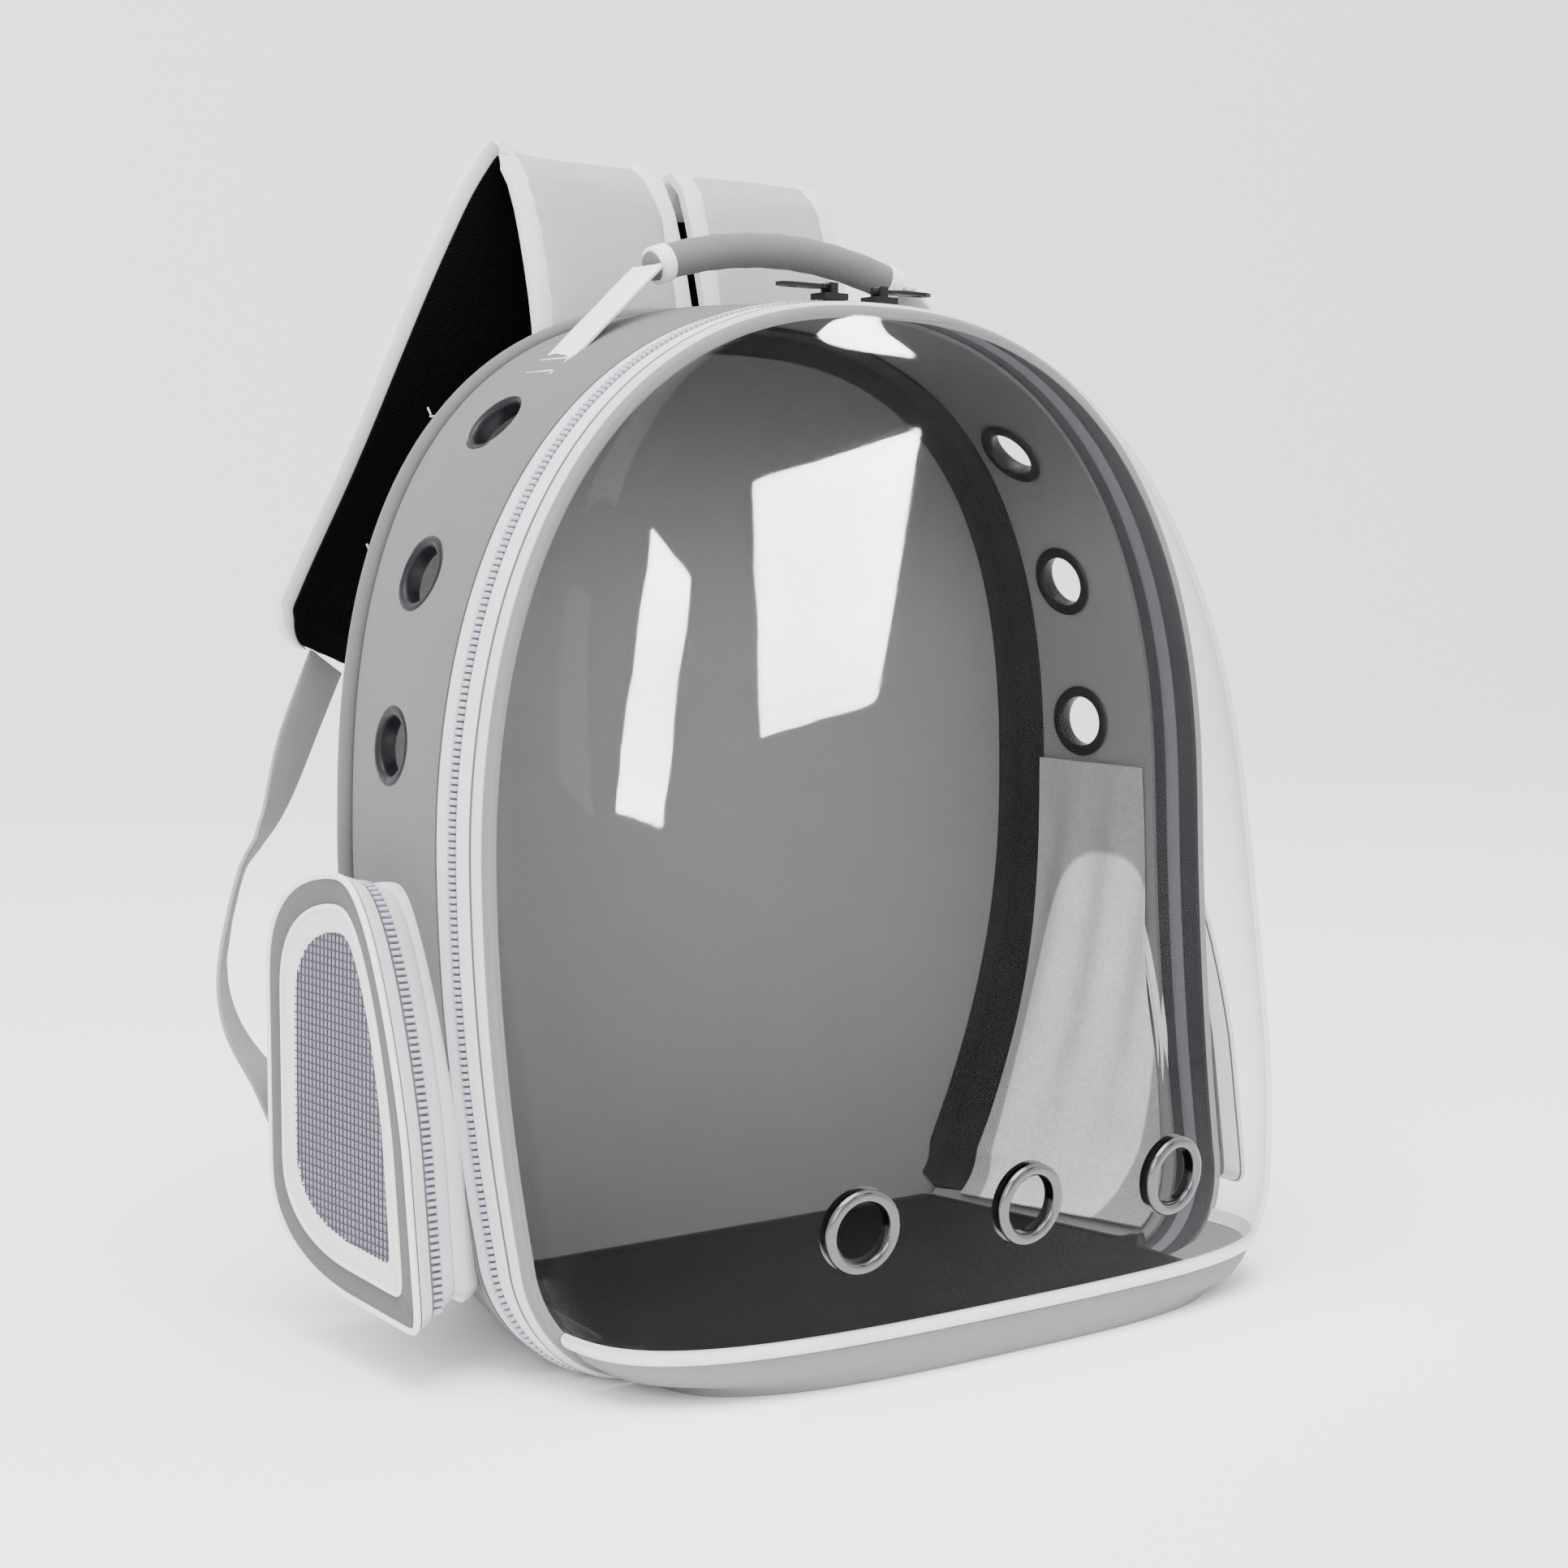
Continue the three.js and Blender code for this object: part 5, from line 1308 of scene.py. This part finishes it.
centre = np.stack([GRIP_HALF * s, np.full(61, HANDLE_Y), GRIP_TOP - GRIP_SAG * s ** 2], 1)
along = np.gradient(centre, axis=0)
along /= np.linalg.norm(along, axis=1)[:, None]
a = np.linspace(0, 2 * math.pi, 33)[:-1]
crease = 1 - 0.10 * np.exp(-((a - 4.71) / 0.16) ** 2)
rings = []
for i, (p, t) in enumerate(zip(centre, along)):
    up = np.cross((0, 1, 0), t) * -1
    taper = min(1, 0.80 + 0.2 * min(i, 60 - i) / 1.5)
    radius = 0.0068 * taper * crease * (1 + 0.015 * math.sin(i * 0.9))
    rings.append(p + np.outer(radius * np.cos(a), (0, 1, 0)) + np.outer(radius * np.sin(a), up))
grip = sweep("handle_grip_sleeve", rings, [grip_cloth])
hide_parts("handle_grip")
for sign, word in ((-1, "left"), (1, "right")):
    wrap = []
    for k, s_value in enumerate((0.985, 0.975, 0.93, 0.885, 0.875)):
        centre_point = np.array([GRIP_HALF * sign * s_value, HANDLE_Y,
                                 GRIP_TOP - GRIP_SAG * s_value ** 2])
        tangent = np.array([1, 0, -2 * GRIP_SAG * sign * s_value / GRIP_HALF])
        tangent /= np.linalg.norm(tangent)
        up = np.cross(tangent, (0, 1, 0))
        radius = 0.0073 if k in (1, 2, 3) else 0.0062
        wrap.append(centre_point + np.outer(radius * np.cos(a), (0, 1, 0))
                    + np.outer(radius * np.sin(a), up))
    wrap = sweep("handle_wrap_%s" % word, wrap, [white_webbing])
print("handle ready")

# %% [markdown]
# ## The shoulder straps
# Each strap comes off the top of the back, loops forward under its own stiffness and hangs beside
# the bag. Its face is padded grey cloth, its two long edges are bound in white tape and its inside
# is lined with black air mesh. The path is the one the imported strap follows. The pad is blown up
# slightly by a cloth simulation, so that it swells between its bound edges the way foam does under
# cloth.

# %% Strap path
STRAP_ROWS = [(.762, 0, 0, 0, 1), (.800, 0, 0, 0, 1), (.844, .03, 0, 0, 1), (.889, .11, 0, 0, 1),
              (.948, .26, 0, 0, 1),
              (.980, .36, .01, 0, 1), (.997, .47, .02, 0, 1), (1, .59, .03, 0, 1), (.986, .70, .06,
                                                                                    .1, 1),
              (.957, .76, .13, .2, 1), (.907, .79, .25, .3, 1), (.807, .83, .47, .5, 1),
              (.700, .90, .70, .8, 1),
              (.594, .98, .92, .9, 1), (.566, .99, .975, 1, .93), (.551, 1, 1, 1, .62)]
STRAP_WIDTH, STRAP_THICK, STRAP_PEAK, STRAP_ROOT = 0.075, 0.009, 0.438, 0.0871


STRAP_STEPS = 120


def strap_path(splay, count=STRAP_STEPS):
    """Centre line, direction across, direction up and relative width of the left strap."""
    rows = np.array(STRAP_ROWS)
    knots = np.stack([-0.041 - splay * rows[:, 2], STRAP_ROOT + 0.053 * rows[:, 1],
                      STRAP_PEAK * rows[:, 0], rows[:, 3], rows[:, 4]], 1)
    line = smooth_path(knots, count)
    centre, turn, broad = line[:, :3], np.radians(20) * line[:, 3], line[:, 4]
    along = np.gradient(centre, axis=0)
    along /= np.linalg.norm(along, axis=1)[:, None]
    across = np.stack([np.cos(turn), np.sin(turn), np.zeros(count)], 1)
    across -= along * (across * along).sum(1)[:, None]
    across /= np.linalg.norm(across, axis=1)[:, None]
    return centre, along, across, np.cross(along, across), broad


def strap_section(share):
    """Half thickness of the pad at a share of its half width, 1 at the middle."""
    return np.maximum(0.0, 1 - np.abs(share) ** 3.2) ** 0.6


def swell_with_cloth(made, pressure=4.0, cap=0.0011, voxel=0.004):
    """Blows a closed pad up slightly with a cloth simulation and keeps the result."""
    materials = list(made.data.materials)
    remesh = made.modifiers.new("voxels", "REMESH")
    remesh.mode = "VOXEL"
    remesh.voxel_size = voxel
    start = applied(made)
    before = np.zeros(len(start.vertices) * 3, np.float32)
    start.vertices.foreach_get("co", before)
    sim = made.modifiers.new("pressure", "CLOTH")
    sim.settings.use_pressure = True
    sim.settings.uniform_pressure_force = pressure
    sim.settings.effector_weights.gravity = 0
    scene = bpy.context.scene
    for step in range(1, 21):
        scene.frame_set(step)
    shape = made.evaluated_get(bpy.context.evaluated_depsgraph_get())
    blown = bpy.data.meshes.new_from_object(shape)
    made.modifiers.clear()
    scene.frame_set(1)
    after = np.zeros(len(blown.vertices) * 3, np.float32)
    blown.vertices.foreach_get("co", after)
    move = (after - before).reshape(-1, 3)
    size = np.linalg.norm(move, axis=1, keepdims=True)
    move *= np.minimum(1, cap / np.maximum(size, 1e-9))
    blown.vertices.foreach_set("co", (before.reshape(-1, 3) + move).ravel())
    made.data = blown
    finer = made.modifiers.new("finer", "SUBSURF")
    finer.levels = finer.render_levels = 1
    result = applied(made)
    result.materials.clear()
    for material in materials:
        result.materials.append(material)
    result.polygons.foreach_set("use_smooth", [True] * len(result.polygons))
    return made


# %% Straps
strap_paint = cloth("strap_face_cloth", (0.36, 0.36, 0.365), pitch=0.0015, coordinates="Object")
for sign, splay, word in ((1, 0.101, "left"), (-1, 0.025, "right")):
    centre, along, across, up, broad = strap_path(splay)
    mirror = np.array([sign, 1, 1])
    u = np.linspace(-1, 1, 19)
    rings = []
    for i in range(STRAP_STEPS):
        half = STRAP_WIDTH / 2 * broad[i] - 0.0012
        round_end = min(1.0, 0.55 + i / 4) if i < 4 else min(1.0, 0.5 + (STRAP_STEPS - 1 - i) / 4)
        thick = STRAP_THICK / 2 * 0.88 * round_end
        top = [centre[i] + across[i] * half * s_ + up[i] * thick
               * (0.16 + 0.84 * strap_section(s_)) for s_ in u]
        low = [centre[i] + across[i] * half * s_ - up[i] * thick
               * (0.16 + 0.84 * strap_section(s_)) for s_ in u[::-1]]
        rings.append(np.array(top + low) * mirror)
    pad = sweep("strap_%s_pad" % word, rings, [strap_paint])
    swell_with_cloth(pad)
    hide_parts("strap_" + word)
    for edge, end in ((-1, "a"), (1, "b")):
        path = []
        for i in range(STRAP_STEPS):
            half = STRAP_WIDTH / 2 * broad[i]
            path.append((centre[i] + across[i] * (half - 0.0045) * edge) * mirror)
        rings = []
        a = np.linspace(0, 2 * math.pi, 15)[:-1]
        for i in range(STRAP_STEPS):
            wide, tall = 0.0052 * (0.6 + 0.4 * broad[i]), 0.0030
            rise = tall * np.sign(np.sin(a)) * np.abs(np.sin(a)) ** 0.6
            rings.append(path[i] + np.outer(wide * np.cos(a), across[i] * mirror)
                         + np.outer(rise, up[i] * mirror))
        binding = sweep("strap_%s_binding_%s" % (word, end), rings, [white_tape])
    peak = int(np.argmax(centre[:, 2]))
    start = peak + int(np.argmax(centre[peak:, 2] < 0.975 * STRAP_PEAK))
    stop = 116
    rows_top, rows_low = [], []
    for i in range(start, stop):
        half = STRAP_WIDTH / 2 * broad[i] * 0.86
        lift = STRAP_THICK / 2 * (0.2 + 0.8 * strap_section(u * 0.86)) + 0.0009
        crown = 0.0012 * (1 - u ** 2)
        rows_low.append((centre[i] + np.outer(half * u, across[i]) + np.outer(lift - 0.0002,
                                                                              up[i])) * mirror)
        rows_top.append((centre[i] + np.outer(half * u, across[i]) + np.outer(lift + 0.0009
                                                                              + crown * 0.4,
                                                                              up[i])) * mirror)
    lining = shell("strap_%s_air_mesh" % word, np.array(rows_top), np.array(rows_low),
                   [lining_cloth])
    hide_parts("strap_%s_lining" % word)
    spots, ways, tops = [], [], []
    for target in (0.336, 0.284):
        i = start + int(np.argmax(centre[start:, 2] < target))
        for k in range(9):
            at = -0.3 + 0.075 * k
            lift = STRAP_THICK / 2 * (0.2 + 0.8 * strap_section(at)) + 0.0024
            spots.append((centre[i] + across[i] * STRAP_WIDTH / 2 * at + along[i] * 0.0009
                          * (k % 2) + up[i] * lift) * mirror)
            ways.append((across[i] + along[i] * (0.5 - k % 2)) * mirror)
            tops.append(up[i] * mirror)
    tacks = repeat("strap_%s_bar_tacks" % word, stitch, spots, ways, tops, pale_thread)
    tail_rows = [(.24, 0, .97, .88, .5), (.44, 0, .90, .78, .7), (.61, 0, .83, .72, .9),
                 (.78, 0, .77, .66, 1), (.98, 0, .60, .54, 1),
                 (1, 0, .43, .445, .9), (1, .13, .30, .36, .7), (1, .32, .18, .27, .2),
                 (1, .66, .06, .19, 0), (1, .97, .01, .135, 0),
                 (1, 1.15, .01, .11, 0)]
    swing = 0.057 if sign > 0 else 0.050
    left_tip = centre[-1]
    knots = [np.concatenate([left_tip + along[-1] * 0.0008, [0.45]])]
    for s_, home, lean, rise, turn in tail_rows:
        x = left_tip[0] - swing * s_
        x = x + (-0.1246 - x) * home
        knots.append(np.array([x, 0.0836 + (left_tip[1] - 0.0836) * lean, rise * left_tip[2],
                               turn]))
    line = smooth_path(knots, 90)
    turn = np.radians(60) * line[:, 3]
    side_way = np.stack([np.cos(turn), np.sin(turn), np.zeros(90)], 1)
    tail = ribbon("strap_%s_tail_weave" % word, line[:, :3] * mirror, side_way * mirror,
                  np.full(90, 0.025), 0.0021, [grey_webbing])
    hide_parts("strap_%s_webbing" % word)
    print("strap", word, ":", len(pad.data.polygons), "faces")

# %% [markdown]
# ## Sliders and pulls
# These are the only hard moving pieces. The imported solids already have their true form, so they are
# kept, with their edges softened by a bevel and a plated finish. A bevel is cheaper than modelling
# every rounded edge by hand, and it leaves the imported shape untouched.

# %% Slider finish
for name in ("zip_slider_left", "zip_slider_right", "zip_pull_left", "zip_pull_right"):
    piece = nodes[name]
    piece.data.materials.clear()
    piece.data.materials.append(plum_metal)
    soften = piece.modifiers.new("soften", "BEVEL")
    soften.width = 0.0003
    soften.segments = 2
    soften.limit_method = "ANGLE"
print("sliders finished")

# %% Finish
for unit in (tooth, tooth_small, stitch):
    bpy.data.objects.remove(unit)
plain = lambda box: [[float(v) for v in corner] for corner in box]
{"cad": plain(cad_box), "visual": plain(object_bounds())}
